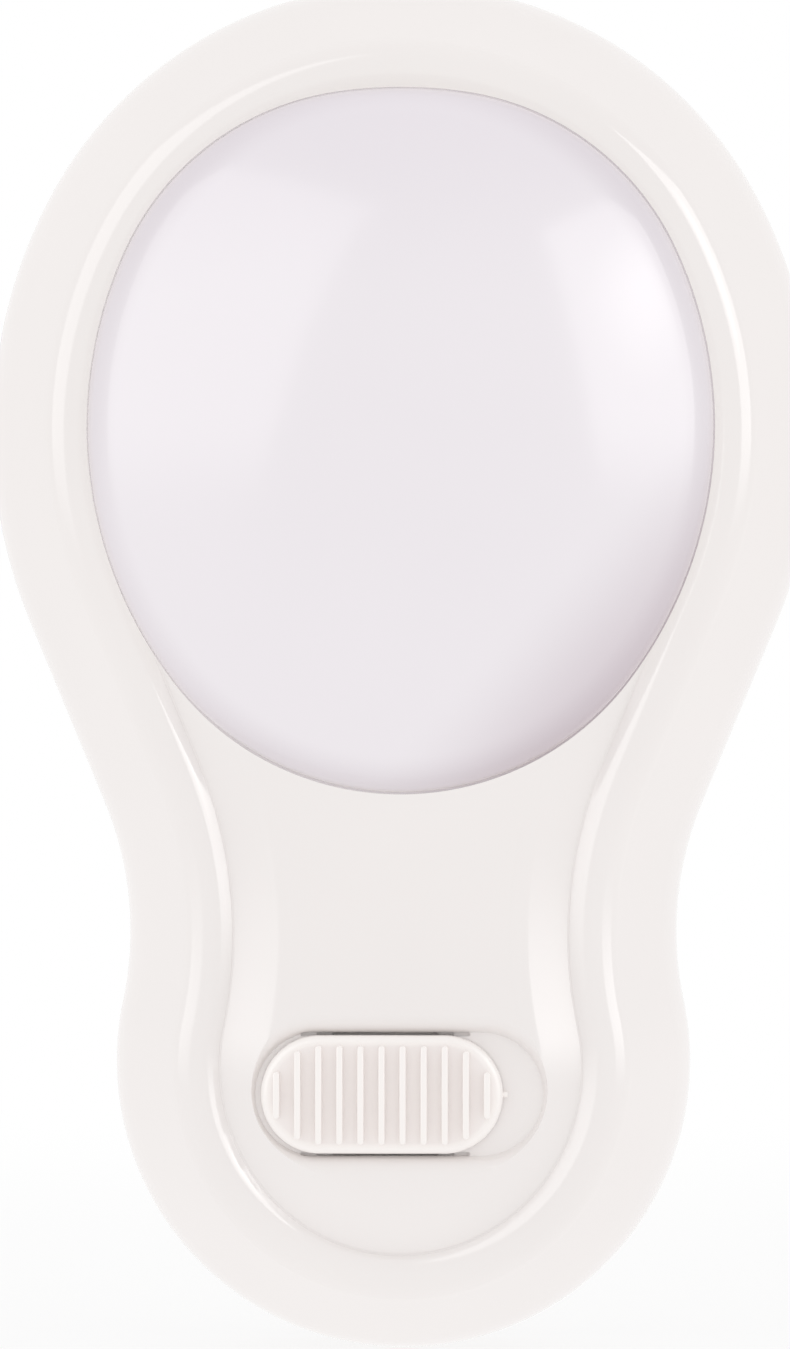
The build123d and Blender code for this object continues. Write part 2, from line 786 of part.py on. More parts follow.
with BuildPart() as diode_leads:
    for diode_x in diode_across:
        for diode_way in (-1, 1):
            diode_end = diode_centre + diode_way * diode_length / 2
            add(
                round_run(
                    [
                        (diode_x, -diode_front, diode_end),
                        (diode_x, -diode_front, diode_end + diode_way * lead_reach),
                        (diode_x, -board_back_front, diode_end + diode_way * lead_reach),
                    ],
                    lead_radius,
                    lead_bend_radius,
                )
            )

# Two resistors one above the other
resistor_front = board_back_front - rest_gap - resistor_radius
with BuildPart() as resistors:
    with BuildSketch(Plane.YZ.offset(-resistor_length / 2)):
        with Locations(*[(-resistor_front, z) for z in resistor_up]):
            Circle(resistor_radius)
    extrude(amount=resistor_length)
    fillet(resistors.edges().filter_by(GeomType.CIRCLE), resistor_edge_radius)

with BuildPart() as resistor_leads:
    for resistor_z in resistor_up:
        for resistor_way in (-1, 1):
            resistor_end = resistor_way * resistor_length / 2
            add(
                round_run(
                    [
                        (resistor_end, -resistor_front, resistor_z),
                        (resistor_end + resistor_way * lead_reach, -resistor_front, resistor_z),
                        (resistor_end + resistor_way * lead_reach, -board_back_front, resistor_z),
                    ],
                    lead_radius,
                    lead_bend_radius,
                )
            )


def plug_pin(across):
    """Turned plug pin with a waist for its sleeve, a collar inside the face and a tail for its wire."""
    with BuildPart() as pin:
        with BuildSketch(Plane.XY.move(Location((across, 0, 0)))) as pin_section:
            with BuildLine():
                Polyline(
                    (0, -pin_tail_front),
                    (pin_core_radius, -pin_tail_front),
                    (pin_core_radius, -collar_front),
                    (pin_collar_radius, -collar_front),
                    (pin_collar_radius, -boss_face_thickness),
                    (pin_core_radius, -boss_face_thickness),
                    (pin_core_radius, sleeve_length),
                    (pin_radius, sleeve_length),
                    (pin_radius, pin_length),
                    (0, pin_length),
                    close=True,
                )
            make_face()
            fillet(pin_section.vertices().group_by(Axis.Y)[-1].sort_by(Axis.X)[-1], pin_tip_radius)
        revolve(axis=Axis((across, 0, 0), (0, 1, 0)))
    return pin.part


# Plug pins, sleeves, and the plate and screw that hold them
with BuildPart() as plug_pin_left:
    add(plug_pin(-pin_spacing / 2))

with BuildPart() as plug_pin_right:
    add(plug_pin(pin_spacing / 2))

with BuildPart() as pin_sleeves:
    with BuildSketch(Plane.XZ.offset(boss_face_thickness)):
        with Locations(*pin_places):
            Circle(sleeve_radius)
            Circle(pin_core_radius + sleeve_fit, mode=Mode.SUBTRACT)
    extrude(amount=-boss_face_thickness - sleeve_length)

with BuildPart() as pin_retainer:
    with BuildSketch(Plane.XZ.offset(collar_front)):
        add(boss_area(wall + retainer_gap))
        with Locations(*pin_places):
            Circle(pin_core_radius + retainer_pin_gap, mode=Mode.SUBTRACT)
        Circle(board_screw_radius + board_hole_clearance, mode=Mode.SUBTRACT)
    extrude(amount=retainer_thickness)

with BuildPart() as retainer_screw:
    retainer_sizes = (board_head_radius, board_head_height, board_screw_radius, retainer_screw_length)
    add(screw_set([(0, 0)], retainer_front, -1, retainer_sizes))


def pin_wire(way):
    """Wire from a pin's tail to the back of the board; way is 1 for the right pin."""
    start = way * pin_spacing / 2
    end = way * (pin_spacing / 2 + wire_spread)
    return round_run(
        [
            (start, -pin_tail_front, 0),
            (start, -pin_tail_front - wire_first_run, 0),
            (end, wire_last_run - board_back_front, wire_climb),
            (end, -board_back_front, wire_climb),
        ],
        wire_radius,
        wire_bend_radius,
    )


with BuildPart() as live_wire:
    add(pin_wire(-1))

with BuildPart() as neutral_wire:
    add(pin_wire(1))

# Slide switch on the board: cover, base, terminals, slide and contact strip
with BuildPart() as switch_can:
    with BuildSketch(Plane.XZ.offset(board_face_front)):
        with Locations((0, switch_height)):
            RectangleRounded(can_width, can_height, can_corner_radius)
    extrude(amount=can_depth)
    with BuildSketch(Plane.XZ.offset(board_face_front)):
        with Locations((0, switch_height)):
            Rectangle(can_width - 2 * can_wall, can_height - 2 * can_wall)
    extrude(amount=can_depth - can_wall, mode=Mode.SUBTRACT)
    with BuildSketch(Plane.XZ.offset(can_top_front)):
        with Locations((0, switch_height)):
            Rectangle(stem_side + knob_travel + 2 * stem_slot_gap, stem_side + 2 * stem_slot_gap)
    extrude(amount=-can_wall, mode=Mode.SUBTRACT)

with BuildPart() as switch_base:
    with BuildSketch(Plane.XZ.offset(board_face_front)):
        with Locations((0, switch_height)):
            Rectangle(can_width - 2 * can_wall - 2 * base_gap, can_height - 2 * can_wall - 2 * base_gap)
        with Locations(*terminal_places):
            Circle(terminal_leg_radius + base_gap, mode=Mode.SUBTRACT)
    extrude(amount=base_thickness)

with BuildPart() as switch_terminals:
    with BuildSketch(Plane.XZ.offset(base_top_front)):
        with Locations(*terminal_places):
            Rectangle(terminal_head_width, terminal_head_height)
    extrude(amount=terminal_head_thickness)
    with BuildSketch(Plane.XZ.offset(base_top_front)):
        with Locations(*terminal_places):
            Circle(terminal_leg_radius)
    extrude(amount=-base_thickness - board_thickness - lead_tail)

with BuildPart() as switch_lever:
    with BuildSketch(Plane.XZ.offset(slide_back_front)):
        with Locations((knob_rest, switch_height)):
            Rectangle(slide_length, slide_height)
    extrude(amount=slide_thickness)
    with BuildSketch(Plane.XZ.offset(slide_top_front)):
        with Locations((knob_rest, switch_height)):
            Rectangle(stem_side, stem_side)
    extrude(amount=stem_top_front - slide_top_front)

with BuildPart() as moving_contact:
    with BuildSketch(Plane.XZ.offset(contact_back_front)):
        with Locations((knob_rest, switch_height)):
            Rectangle(contact_length, contact_height)
    extrude(amount=contact_thickness)

# Ribbed knob with its skirt behind the slot, a pocket for the stem and a small gate mark
with BuildPart() as switch_knob:
    with BuildSketch(Plane.XZ.offset(skirt_face_front)):
        with Locations((knob_rest, switch_height)):
            SlotOverall(knob_length, knob_height)
    extrude(amount=knob_top_front - skirt_face_front)
    fillet(switch_knob.edges().group_by(Axis.Y)[0], knob_edge_radius)
    with BuildSketch(Plane.XZ.offset(skirt_back_front)):
        with Locations((knob_rest, switch_height)):
            SlotOverall(skirt_length, skirt_height)
    extrude(amount=skirt_thickness)
    with BuildSketch(Plane.XZ.offset(skirt_back_front)):
        with Locations((knob_rest, switch_height)):
            Rectangle(stem_side + 2 * stem_gap, stem_side + 2 * stem_gap)
    extrude(amount=stem_top_front + stem_pocket_extra - skirt_back_front, mode=Mode.SUBTRACT)
    rib_reach = knob_height / 2 - rib_margin
    with BuildSketch(Plane.XZ.offset(knob_top_front)):
        for rib in range(rib_count):
            rib_across = (rib - (rib_count - 1) / 2) * rib_pitch
            rib_past = max(0, abs(rib_across) - (knob_length - knob_height) / 2)
            rib_half = sqrt(rib_reach**2 - rib_past**2)
            with Locations((knob_rest + rib_across, switch_height)):
                SlotOverall(2 * rib_half, rib_width, rotation=90)
    extrude(amount=rib_rise)
    fillet(switch_knob.edges().group_by(Axis.Y)[0], rib_edge_radius)
    with BuildSketch(Plane.YZ.offset(knob_rest + knob_length / 2 - knob_edge_radius)):
        with Locations((gate_height - plateau_front, switch_height)):
            Circle(gate_radius)
    extrude(amount=knob_edge_radius + gate_length)

# Screws
with BuildPart() as case_screws:
    case_sizes = (case_head_radius, case_head_height, case_screw_radius, case_screw_length)
    add(screw_set(case_places, case_seat_front, 1, case_sizes))

with BuildPart() as board_screws:
    board_sizes = (board_head_radius, board_head_height, board_screw_radius, board_screw_length)
    add(screw_set(board_places, board_back_front, 1, board_sizes))

pieces = {
    "front_housing": front_housing,
    "rear_housing": rear_housing,
    "diffuser_lens": diffuser_lens,
    "reflector": reflector,
    "circuit_board": circuit_board,
    "leds": leds,
    "led_leads": led_leads,
    "dropper_capacitor": dropper_capacitor,
    "dropper_leads": dropper_leads,
    "smoothing_capacitor": smoothing_capacitor,
    "smoothing_leads": smoothing_leads,
    "rectifier_diodes": rectifier_diodes,
    "diode_leads": diode_leads,
    "resistors": resistors,
    "resistor_leads": resistor_leads,
    "plug_pin_left": plug_pin_left,
    "plug_pin_right": plug_pin_right,
    "pin_sleeves": pin_sleeves,
    "pin_retainer": pin_retainer,
    "retainer_screw": retainer_screw,
    "live_wire": live_wire,
    "neutral_wire": neutral_wire,
    "switch_can": switch_can,
    "switch_base": switch_base,
    "switch_terminals": switch_terminals,
    "switch_lever": switch_lever,
    "moving_contact": moving_contact,
    "switch_knob": switch_knob,
    "case_screws": case_screws,
    "board_screws": board_screws,
}

os.makedirs("parts", exist_ok=True)
for label, piece in pieces.items():
    piece.part.label = label
    export_step(piece.part, f"parts/{label}.step")
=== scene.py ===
"""Looks of a plug-in night light with a keyhole-shaped casing, an egg-shaped lens and a ribbed slide switch.

The CAD frame is loaded first. The pieces that show are modelled over it, and the other nodes get their
finishes.
"""
from math import acos, atan2, ceil, cos, pi, radians, sin, sqrt, tan

import bmesh
import bpy
from bpy.props import FloatProperty, FloatVectorProperty, IntProperty, PointerProperty
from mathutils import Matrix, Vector


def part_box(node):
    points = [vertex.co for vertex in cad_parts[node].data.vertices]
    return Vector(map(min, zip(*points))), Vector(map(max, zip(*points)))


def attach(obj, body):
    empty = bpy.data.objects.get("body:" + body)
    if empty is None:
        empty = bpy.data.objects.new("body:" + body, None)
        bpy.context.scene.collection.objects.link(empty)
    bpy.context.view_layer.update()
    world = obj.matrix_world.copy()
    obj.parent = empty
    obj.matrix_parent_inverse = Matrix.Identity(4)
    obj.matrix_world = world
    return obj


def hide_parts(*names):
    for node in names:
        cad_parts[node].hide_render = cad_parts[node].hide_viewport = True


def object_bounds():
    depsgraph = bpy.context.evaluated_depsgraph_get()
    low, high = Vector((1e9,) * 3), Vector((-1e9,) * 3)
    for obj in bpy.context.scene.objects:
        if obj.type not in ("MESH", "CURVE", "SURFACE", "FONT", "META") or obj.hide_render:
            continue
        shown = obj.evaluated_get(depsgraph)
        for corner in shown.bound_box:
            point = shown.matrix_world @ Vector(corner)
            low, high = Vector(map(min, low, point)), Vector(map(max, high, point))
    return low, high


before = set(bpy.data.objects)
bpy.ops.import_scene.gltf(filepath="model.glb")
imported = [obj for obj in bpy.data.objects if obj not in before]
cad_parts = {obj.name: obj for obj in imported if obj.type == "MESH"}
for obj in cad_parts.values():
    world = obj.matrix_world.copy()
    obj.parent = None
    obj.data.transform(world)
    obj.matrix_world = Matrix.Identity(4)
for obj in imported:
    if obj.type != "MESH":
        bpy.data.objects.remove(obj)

bl_info = {
    "name": "Night light looks",
    "version": (1, 0, 0),
    "blender": (4, 5, 0),
    "location": "3D View > Sidebar > Night light",
    "description": "Models and finishes a plug-in night light over its CAD frame",
    "category": "Object",
}

MM = 0.001
CLOSE = 2e-6
FAR = 1000
WHITE = (1, 1, 1, 1)
BLACK = (0, 0, 0, 1)

# How finely curves are divided.
OUTLINE_STEP = radians(1.6)
EGG_STEP = radians(1.5)
CORNER_STEP = radians(6)
FLANK_STEP = 3 * MM
STADIUM_SIDES = 96
ROD_SIDES = 40
PIN_SIDES = 48
SHOULDER_STEPS = 8
EDGE_STEPS = 10

# Fixed details of the shells.
PANEL_WALL = 2.8 * MM
STRAIGHT_WALL = 2.5 * MM
SLOPE_ROUNDING = 7.0 * MM
SLOPE_THINNING = 0.4 * MM
CEILING_INSET = 6.3 * MM
PARTING_CHAMFER = 0.25 * MM
CREASE_ROUNDING = 0.06 * MM
GROOVE_WIDTH = 0.13 * MM
GROOVE_DEPTH = 0.045 * MM
SHOULDER_FOOT = 0.02 * MM
BACK_ROUNDING = 3.0 * MM
LIP_CLEARANCE = 0.1 * MM
LIP_THICKNESS = 1.0 * MM
LIP_HEIGHT = 1.5 * MM
LIP_TAIL = 1.9 * MM
LIP_ROOT = 3.0 * MM
CASE_SCREW_HEAD = 2.1 * MM
BOARD_SCREW_HEAD = 1.9 * MM
PANEL_EDGE = 0.1 * MM
RIDGE_EDGE = 1.3 * MM

# Bosses, posts, holes and plug boss of the shells.
OVERRUN = 1.0 * MM
ROOT_OVERLAP = 0.3 * MM
TOP_BOSS_RADIUS = 2.2 * MM
TOP_BOSS_LENGTH = 6.8 * MM
LOW_BOSS_RADIUS = 2.7 * MM
POST_RADIUS = 2.2 * MM
CASE_PILOT_RADIUS = 1.33 * MM
CASE_PILOT_END = 16.1 * MM
SMALL_PILOT_RADIUS = 1.03 * MM
POST_PILOT_DEPTH = 5.0 * MM
TUBE_RADIUS = 3.6 * MM
WELL_RADIUS = 2.4 * MM
WELL_DEPTH = 4.5 * MM
BORE_RADIUS = 1.5 * MM
BORE_START = 4.0 * MM
PROP_RADIUS = 1.8 * MM
PROP_PLACES = ((14.4 * MM, 8.0 * MM), (6.5 * MM, -53.0 * MM))
BOSS_FLAT_SHARE = 0.66
BOSS_FACE = 3.0 * MM
RETAINER_POST_RADIUS = 2.4 * MM
RETAINER_POST_DEPTHS = (2.0 * MM, 4.5 * MM)
RETAINER_PILOT_DEPTHS = (0.9 * MM, 5.0 * MM)
PIN_CLEARANCE = 0.05 * MM
PIN_HOLE_DEPTH = 4.0 * MM

# Fixed details of the pins and sleeves.
PIN_CORE = 1.5 * MM
PIN_TIP = 1.6 * MM
PIN_TAIL = 8.0 * MM
PIN_CHAMFER = 0.1 * MM
COLLAR_RADIUS = 3.0 * MM
COLLAR_FACE, COLLAR_BACK = 3.0 * MM, 4.5 * MM
SLEEVE_BORE = 1.52 * MM
SLEEVE_ROOT = 3.0 * MM
SLEEVE_ROUNDING = ((0, 0.15 * MM), (0.05 * MM, 0.05 * MM), (0.12 * MM, 0))

# Fixed details of the lens and the switch.
FLANGE = 1.2 * MM
FLANGE_THICKNESS = 1.5 * MM
SLIDING_GAP = 0.1 * MM
SIDE_GAP = 0.2 * MM
STEM_OVERLAP = 0.3 * MM
LIP_MARGIN = 0.05 * MM
GAP_SHARES = (1, 0.81, 0.62)
GAP_DEPTHS = (0.4 * MM, 0.8 * MM)
GAP_TAPER = 0.1
GAP_OVERRUN = 0.2 * MM
# Fade and rise of the painted shade between the knob's ribs.
RIB_SHADE_FADE = 0.3 * MM
RIB_SHADE_RISE = (0.4 * MM, 0.05 * MM)
RIB_MARGIN = 0.75 * MM
RIB_ROOT = 0.2 * MM
RIB_ROUNDING = 0.12 * MM
GATE_RADIUS = 0.2 * MM
GATE_LENGTH = 0.9 * MM
GATE_REACH = 0.35 * MM
GATE_DEPTH = 0.8 * MM

# Fixed details of the stage.
LIGHT_AIM = Vector((0, -0.03, 0))
CARD_DISTANCE = 0.8
CARD_FADE = (-0.16, 0.04)
CORE_SIDE, CORE_RISE, CORE_DISTANCE = radians(54), radians(20), 0.5
CAMERA_AIM = Vector((-0.63, -29.0, -17.3)) * MM
SENSOR_WIDTH = 36.0
VIEW_WIDTH = 103.8 * MM

cad_low, cad_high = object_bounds()
front_low, front_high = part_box("front_housing")
lens_low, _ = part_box("diffuser_lens")
knob_low, knob_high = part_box("switch_knob")
_, pin_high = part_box("plug_pin_right")
screw_low, screw_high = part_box("case_screws")
board_low, board_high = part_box("circuit_board")
post_low, post_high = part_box("board_screws")


def length(name, size, description):
    """A length property whose default is given in metres."""
    return FloatProperty(name=name, description=description, default=size, unit="LENGTH", precision=5)


def number(name, amount, description):
    """A plain number property."""
    return FloatProperty(name=name, description=description, default=amount, min=0)


def angle(name, degrees, description):
    """An angle property whose default is given in degrees."""
    return FloatProperty(name=name, description=description, default=radians(degrees), subtype="ANGLE")


def colour(name, red, green, blue, description):
    """A colour property whose default is given as screen values from 0 to 255."""
    share = [c / 255 for c in (red, green, blue)]
    light = [c / 12.92 if c <= 0.04045 else ((c + 0.055) / 1.055) ** 2.4 for c in share]
    return FloatVectorProperty(
        name=name, description=description, default=light, subtype="COLOR", min=0, max=1
    )


class CasingSizes(bpy.types.PropertyGroup):
    """Outline and depths of the two casing shells."""

    top_radius: length("Top radius", 30.8 * MM, "Radius of the round top of the casing")
    side_radius: length("Side radius", 38.4 * MM, "Radius of the sides below the top")
    neck_radius: length("Neck radius", 25.7 * MM, "Radius of the hollow waist")
    base_radius: length("Base radius", 22.1 * MM, "Radius of the round base")
    top_height: length("Top centre", 5.0 * MM, "Height of the top's centre above the plug")
    lobe_spacing: length("Lobe spacing", 52.0 * MM, "Distance between the centres of top and base")
    top_angle: angle("Top angle", 62.0, "Where the top arc gives way to the side arc")
    flank_angle: angle("Flank angle", 22.5, "Lean of the straight flank")
    parting: length("Parting", -front_high.y, "Depth in front of the plug face at which the shells meet")
    back: length("Back", 17.5 * MM, "Depth in front of the plug face of the casing's back")
    wall: length("Wall", 2.0 * MM, "Thickness of the shells")
    panel: length("Panel", -front_low.y, "Depth in front of the plug face of the front panel")
    ridge_inset: length("Ridge inset", 5.9 * MM, "Distance of the rim's ridge from the outline")
    ridge_radius: length("Ridge radius", 2.3 * MM, "Rounding of the rim's ridge")
    crease_inset: length("Crease inset", 8.25 * MM, "Distance of the crease from the outline")
    screw_spread: length("Screw spread", 14.05 * MM, "Distance of the waist's screws from the middle")
    screw_height: length("Screw height", -29.04 * MM, "Height of the waist's screws above the plug")
    crease_depth: length("Crease depth", 1.6 * MM, "How far the crease lies behind the panel")
    shoulder_radius: length("Shoulder radius", 4.0 * MM, "Rounding where the panel turns down to the crease")
    shoulder_start: angle("Shoulder start", 22.0, "Slope of the panel's shoulder below its rounding")
    shoulder_end: angle("Shoulder end", 27.5, "Slope of the panel's shoulder at the crease")
    base_stretch: number("Base stretch", 1.018, "How much the panel's base is drawn down")
    ridge_stretch: number("Ridge stretch", 1.025, "How much the base's ridge is drawn down")


class LensSizes(bpy.types.PropertyGroup):
    """Egg-shaped dome of the lens."""

    top_radius: length("Top radius", 33.52 * MM, "Radius of the lens's flat top arc")
    shoulder_radius: length("Shoulder radius", 21.0 * MM, "Radius of the lens's shoulder arcs")
    side_radius: length("Side radius", 32.09 * MM, "Radius of the lens's side arcs")
    top_height: length("Top centre", -6.06 * MM, "Height of the top arc's centre above the plug")
    top_angle: angle("Top angle", 8.6, "Where the top arc gives way to the shoulder arc")
    shoulder_angle: angle("Shoulder angle", 65.3, "Where the shoulder arc gives way to the side arc")
    base_angle: angle("Base angle", 126.8, "Where the side arc gives way to the base arc")
    dome_radius: length("Dome radius", 23.55 * MM, "Radius of the dome before it takes the egg shape")
    gap: length("Gap", 0.13 * MM, "Gap between the lens and its opening")
    apex: length("Apex", -lens_low.y, "Depth in front of the plug face of the dome's top")
    crown_radius: length("Crown radius", 41.5 * MM, "Radius of the dome's crown")
    edge_radius: length("Edge radius", 4.0 * MM, "Rounding of the dome's edge")
    wall: length("Wall", 1.8 * MM, "Thickness of the lens")


class KnobSizes(bpy.types.PropertyGroup):
    """Slide knob, its ribs, its recess and its slot."""

    length: length("Knob length", 18.4 * MM, "Length of the knob")
    height: length("Knob height", 9.0 * MM, "Height of the knob")
    edge_radius: length("Edge radius", 0.6 * MM, "Rounding of the knob's edge")
    rib_rise: length("Rib rise", 0.9 * MM, "How far the ribs stand out")
    rib_pitch: length("Rib pitch", 1.6 * MM, "Distance between ribs")
    rib_width: length("Rib width", 0.5 * MM, "Width of a rib")
    rib_count: IntProperty(name="Ribs", description="Number of ribs", default=11, min=1)
    recess_length: length("Recess length", 21.9 * MM, "Length of the knob's recess in the panel")
    recess_height: length("Recess height", 9.4 * MM, "Height of the knob's recess in the panel")
    recess_depth: length("Recess depth", 1.1 * MM, "Depth of the knob's recess in the panel")
    recess_shift: length("Recess shift", -0.1 * MM, "How far the recess's middle lies from the casing's")
    lip_radius: length("Lip radius", 1.4 * MM, "Rounding of the recess's lip")
    slot_length: length("Slot length", 15.0 * MM, "Length of the slot that the knob hides")
    stem_length: length("Stem length", 11.0 * MM, "Length of the knob's stem in the slot")
    stem_height: length("Stem height", 7.0 * MM, "Height of the stem behind the knob")
    gap_length: length("Gap length", 12.9 * MM, "Length of the open gaps beside the knob's straight sides")
    gap_width: length("Gap width", 0.3 * MM, "Width of the open gaps, partly behind the knob")
    gap_shift: length("Gap shift", -1.15 * MM, "Place of the open gaps across the casing")
    skirt_thickness: length("Skirt thickness", 1.2 * MM, "Thickness of the knob's skirt behind the panel")
    travel: length("Travel", 2.8 * MM, "How far the knob slides")


class PlugSizes(bpy.types.PropertyGroup):
    """Plug boss, pins and sleeves."""

    boss_width: length("Boss width", 35.3 * MM, "Width of the plug boss")
    boss_height: length("Boss height", 13.7 * MM, "Height of the plug boss")
    corner_radius: length("Corner radius", 3.0 * MM, "Rounding of the boss's corners")
    face_radius: length("Face radius", 1.0 * MM, "Rounding of the boss's face edge")
    pin_spacing: length("Pin spacing", 19.0 * MM, "Distance between the pins")
    pin_radius: length("Pin radius", 2.0 * MM, "Radius of a pin")
    pin_length: length("Pin length", pin_high.y, "How far a pin stands out of the face")
    sleeve_radius: length("Sleeve radius", 1.8 * MM, "Radius of a pin's sleeve")
    sleeve_length: length("Sleeve length", 10.0 * MM, "Length of a sleeve outside the face")


class FinishColours(bpy.types.PropertyGroup):
    """Colours of the pieces that show."""

    casing: colour("Casing", 243, 238, 236, "Glossy white of the casing")
    lens: colour("Lens", 240, 235, 239, "Frosted white of the lens")
    knob: colour("Knob", 252, 247, 244, "White of the slide knob")
    pin: colour("Pins", 206, 203, 197, "Nickel plate of the pins")
    sleeve: colour("Sleeves", 28, 28, 29, "Insulating sleeves of the pins")


class StageSettings(bpy.types.PropertyGroup):
    """Camera and lamps."""

    camera_distance: length("Camera distance", 0.75, "Distance from the camera to the casing")
    camera_side: angle("Camera side", 1.3, "How far the camera stands to the right")
    camera_rise: angle("Camera rise", 0.6, "How far the camera stands above the casing's middle")
    fill: number("Fill", 1.06, "Strength of the even light")
    front_share: number("Front share", 0.87, "Share of the fill that comes from front and back")
    left_lamp: number("Left lamp", 2.0, "Brightness of the left lamp")
    right_lamp: number("Right lamp", 2.6, "Brightness of the right lamp")
    core_lamp: number("Core", 3.2, "Brightness of the right lamp's core")


def clear_selection():
    """Leaves edit mode and deselects every object."""
    if bpy.context.object and bpy.context.object.mode != "OBJECT":
        bpy.ops.object.mode_set(mode="OBJECT")
    bpy.ops.object.select_all(action="DESELECT")


def activate(piece):
    """Makes one piece the only selected object."""
    clear_selection()
    piece.select_set(True)
    bpy.context.view_layer.objects.active = piece


def edit(piece):
    """Opens a piece in edit mode with all of it selected."""
    activate(piece)
    bpy.ops.object.mode_set(mode="EDIT")
    bpy.ops.mesh.select_mode(type="VERT")
    bpy.ops.mesh.select_all(action="SELECT")


def pick(piece, kind, test):
    """Selects the vertices, edges or faces of the open piece that pass a test, and nothing else."""
    bpy.ops.mesh.select_mode(type=kind)
    bpy.ops.mesh.select_all(action="DESELECT")
    shape = bmesh.from_edit_mesh(piece.data)
    items = {"VERT": shape.verts, "EDGE": shape.edges, "FACE": shape.faces}[kind]
    for item in items:
        if test(item):
            item.select_set(True)
    shape.select_flush_mode()
    bmesh.update_edit_mesh(piece.data)


def push(across, along, up):
    """Extrudes what is selected by a step."""
    bpy.ops.mesh.extrude_region_move(TRANSFORM_OT_translate={"value": (across, along, up)})


def grow(share, middle):
    """Scales what is selected about an axis from front to back."""
    bpy.ops.transform.resize(value=(share, 1, share), center_override=(middle[0], 0, middle[1]))


def mend(piece):
    """Merges doubled vertices and turns all faces outwards."""
    edit(piece)
    bpy.ops.mesh.remove_doubles(threshold=CLOSE)
    bpy.ops.mesh.normals_make_consistent(inside=False)
    bpy.ops.object.mode_set(mode="OBJECT")


def use_modifier(piece, kind, **settings):
    """Adds a modifier with its settings and applies it."""
    activate(piece)
    modifier = piece.modifiers.new(kind.lower(), kind)
    for key, value in settings.items():
        setattr(modifier, key, value)
    bpy.ops.object.modifier_apply(modifier=modifier.name)


def combine(piece, tool, way):
    """Joins a tool to a piece, or cuts it away, and removes the tool."""
    use_modifier(piece, "BOOLEAN", object=tool, operation=way, solver="EXACT")
    bpy.data.objects.remove(tool)


def smooth(piece, degrees):
    """Shades a piece smooth up to an angle, with flat faces kept flat."""
    activate(piece)
    bpy.ops.object.shade_smooth_by_angle(angle=radians(degrees))
    use_modifier(piece, "WEIGHTED_NORMAL", keep_sharp=True, weight=60, mode="FACE_AREA")


def dot(name, across, front, up):
    """Starts a piece as one vertex, a small square merged to its middle, and leaves it open."""
    clear_selection()
    bpy.ops.mesh.primitive_plane_add(size=MM, location=(across, -front, up))
    piece = bpy.context.object
    piece.name = name
    bpy.ops.object.transform_apply(location=True, rotation=True, scale=True)
    edit(piece)
    bpy.ops.mesh.merge(type="CENTER")
    return piece


def disc(name, count, radius, across, front, up, fill="NGON"):
    """Starts a piece as a flat disc that faces along the depth, and leaves it open."""
    clear_selection()
    bpy.ops.mesh.primitive_circle_add(
        vertices=count, radius=radius, fill_type=fill, location=(across, -front, up), rotation=(pi / 2, 0, 0)
    )
    piece = bpy.context.object
    piece.name = name
    bpy.ops.object.transform_apply(location=True, rotation=True, scale=True)
    edit(piece)
    return piece


def join(piece, others):
    """Joins other objects into a piece."""
    activate(piece)
    for other in others:
        other.select_set(True)
    bpy.ops.object.join()


def around(centre, radius, clock):
    """Point on a circle at a clock angle from straight up."""
    return (centre[0] + radius * sin(clock), centre[1] + radius * cos(clock))


def rounded(corners, finest):
    """Chain of points through corners of (inset, front, radius), with an arc where a radius is given."""
    chain = []
    for i, (inset, front, radius) in enumerate(corners):
        corner = Vector((inset, front))
        if not radius:
            chain.append(corner)
            continue
        back = (Vector(corners[i - 1][:2]) - corner).normalized()
        ahead = (Vector(corners[i + 1][:2]) - corner).normalized()
        half = acos(max(-1.0, min(1.0, back.dot(ahead)))) / 2
        middle = corner + (back + ahead).normalized() * (radius / sin(half))
        first = corner + back * (radius / tan(half)) - middle
        last = corner + ahead * (radius / tan(half)) - middle
        sweep = first.angle_signed(last)
        steps = ceil(abs(sweep) / finest)
        for k in range(steps + 1):
            turn = -sweep * k / steps
            swung = (first.x * cos(turn) - first.y * sin(turn), first.x * sin(turn) + first.y * cos(turn))
            chain.append(middle + Vector(swung))
    return chain


def casing_legs(casing):
    """Half the casing's outline as (centre, turn) for an arc and (None, step) for the flank, top to base."""
    top = (0, casing.top_height)
    base = (0, casing.top_height - casing.lobe_spacing)
    flank = pi / 2 + casing.flank_angle
    side = around(top, casing.top_radius - casing.side_radius, casing.top_angle)
    start = around(side, casing.side_radius, flank)
    way = Vector((cos(flank), -sin(flank)))
    first = Vector(around(start, casing.neck_radius, flank)) - Vector(base)
    along = first.dot(way)
    span = casing.neck_radius + casing.base_radius
    run = -along - sqrt(along**2 - first.length_squared + span**2)
    neck = Vector(base) + first + way * run
    low = atan2(neck.x, neck.y - base[1])
    return [
        (top, casing.top_angle),
        (side, flank - casing.top_angle),
        (None, way * run),
        (tuple(neck), low - flank),
        (base, pi - low),
    ]


def lens_legs(lens):
    """Half the lens's outline as (centre, turn) for each arc, top to base."""
    top = (0, lens.top_height)
    shoulder = around(top, lens.top_radius - lens.shoulder_radius, lens.top_angle)
    side = around(shoulder, lens.shoulder_radius - lens.side_radius, lens.shoulder_angle)
    base_radius = lens.side_radius + side[0] / sin(lens.base_angle)
    base = around(side, lens.side_radius - base_radius, lens.base_angle)
    return [
        (top, lens.top_angle),
        (shoulder, lens.shoulder_angle - lens.top_angle),
        (side, lens.base_angle - lens.shoulder_angle),
        (base, pi - lens.base_angle),
    ]


def lens_middle(lens):
    """Height of the middle of the lens."""
    side, base = (centre for centre, turn in lens_legs(lens)[-2:])
    base_radius = lens.side_radius + side[0] / sin(lens.base_angle)
    return (lens.top_height + lens.top_radius + base[1] - base_radius) / 2


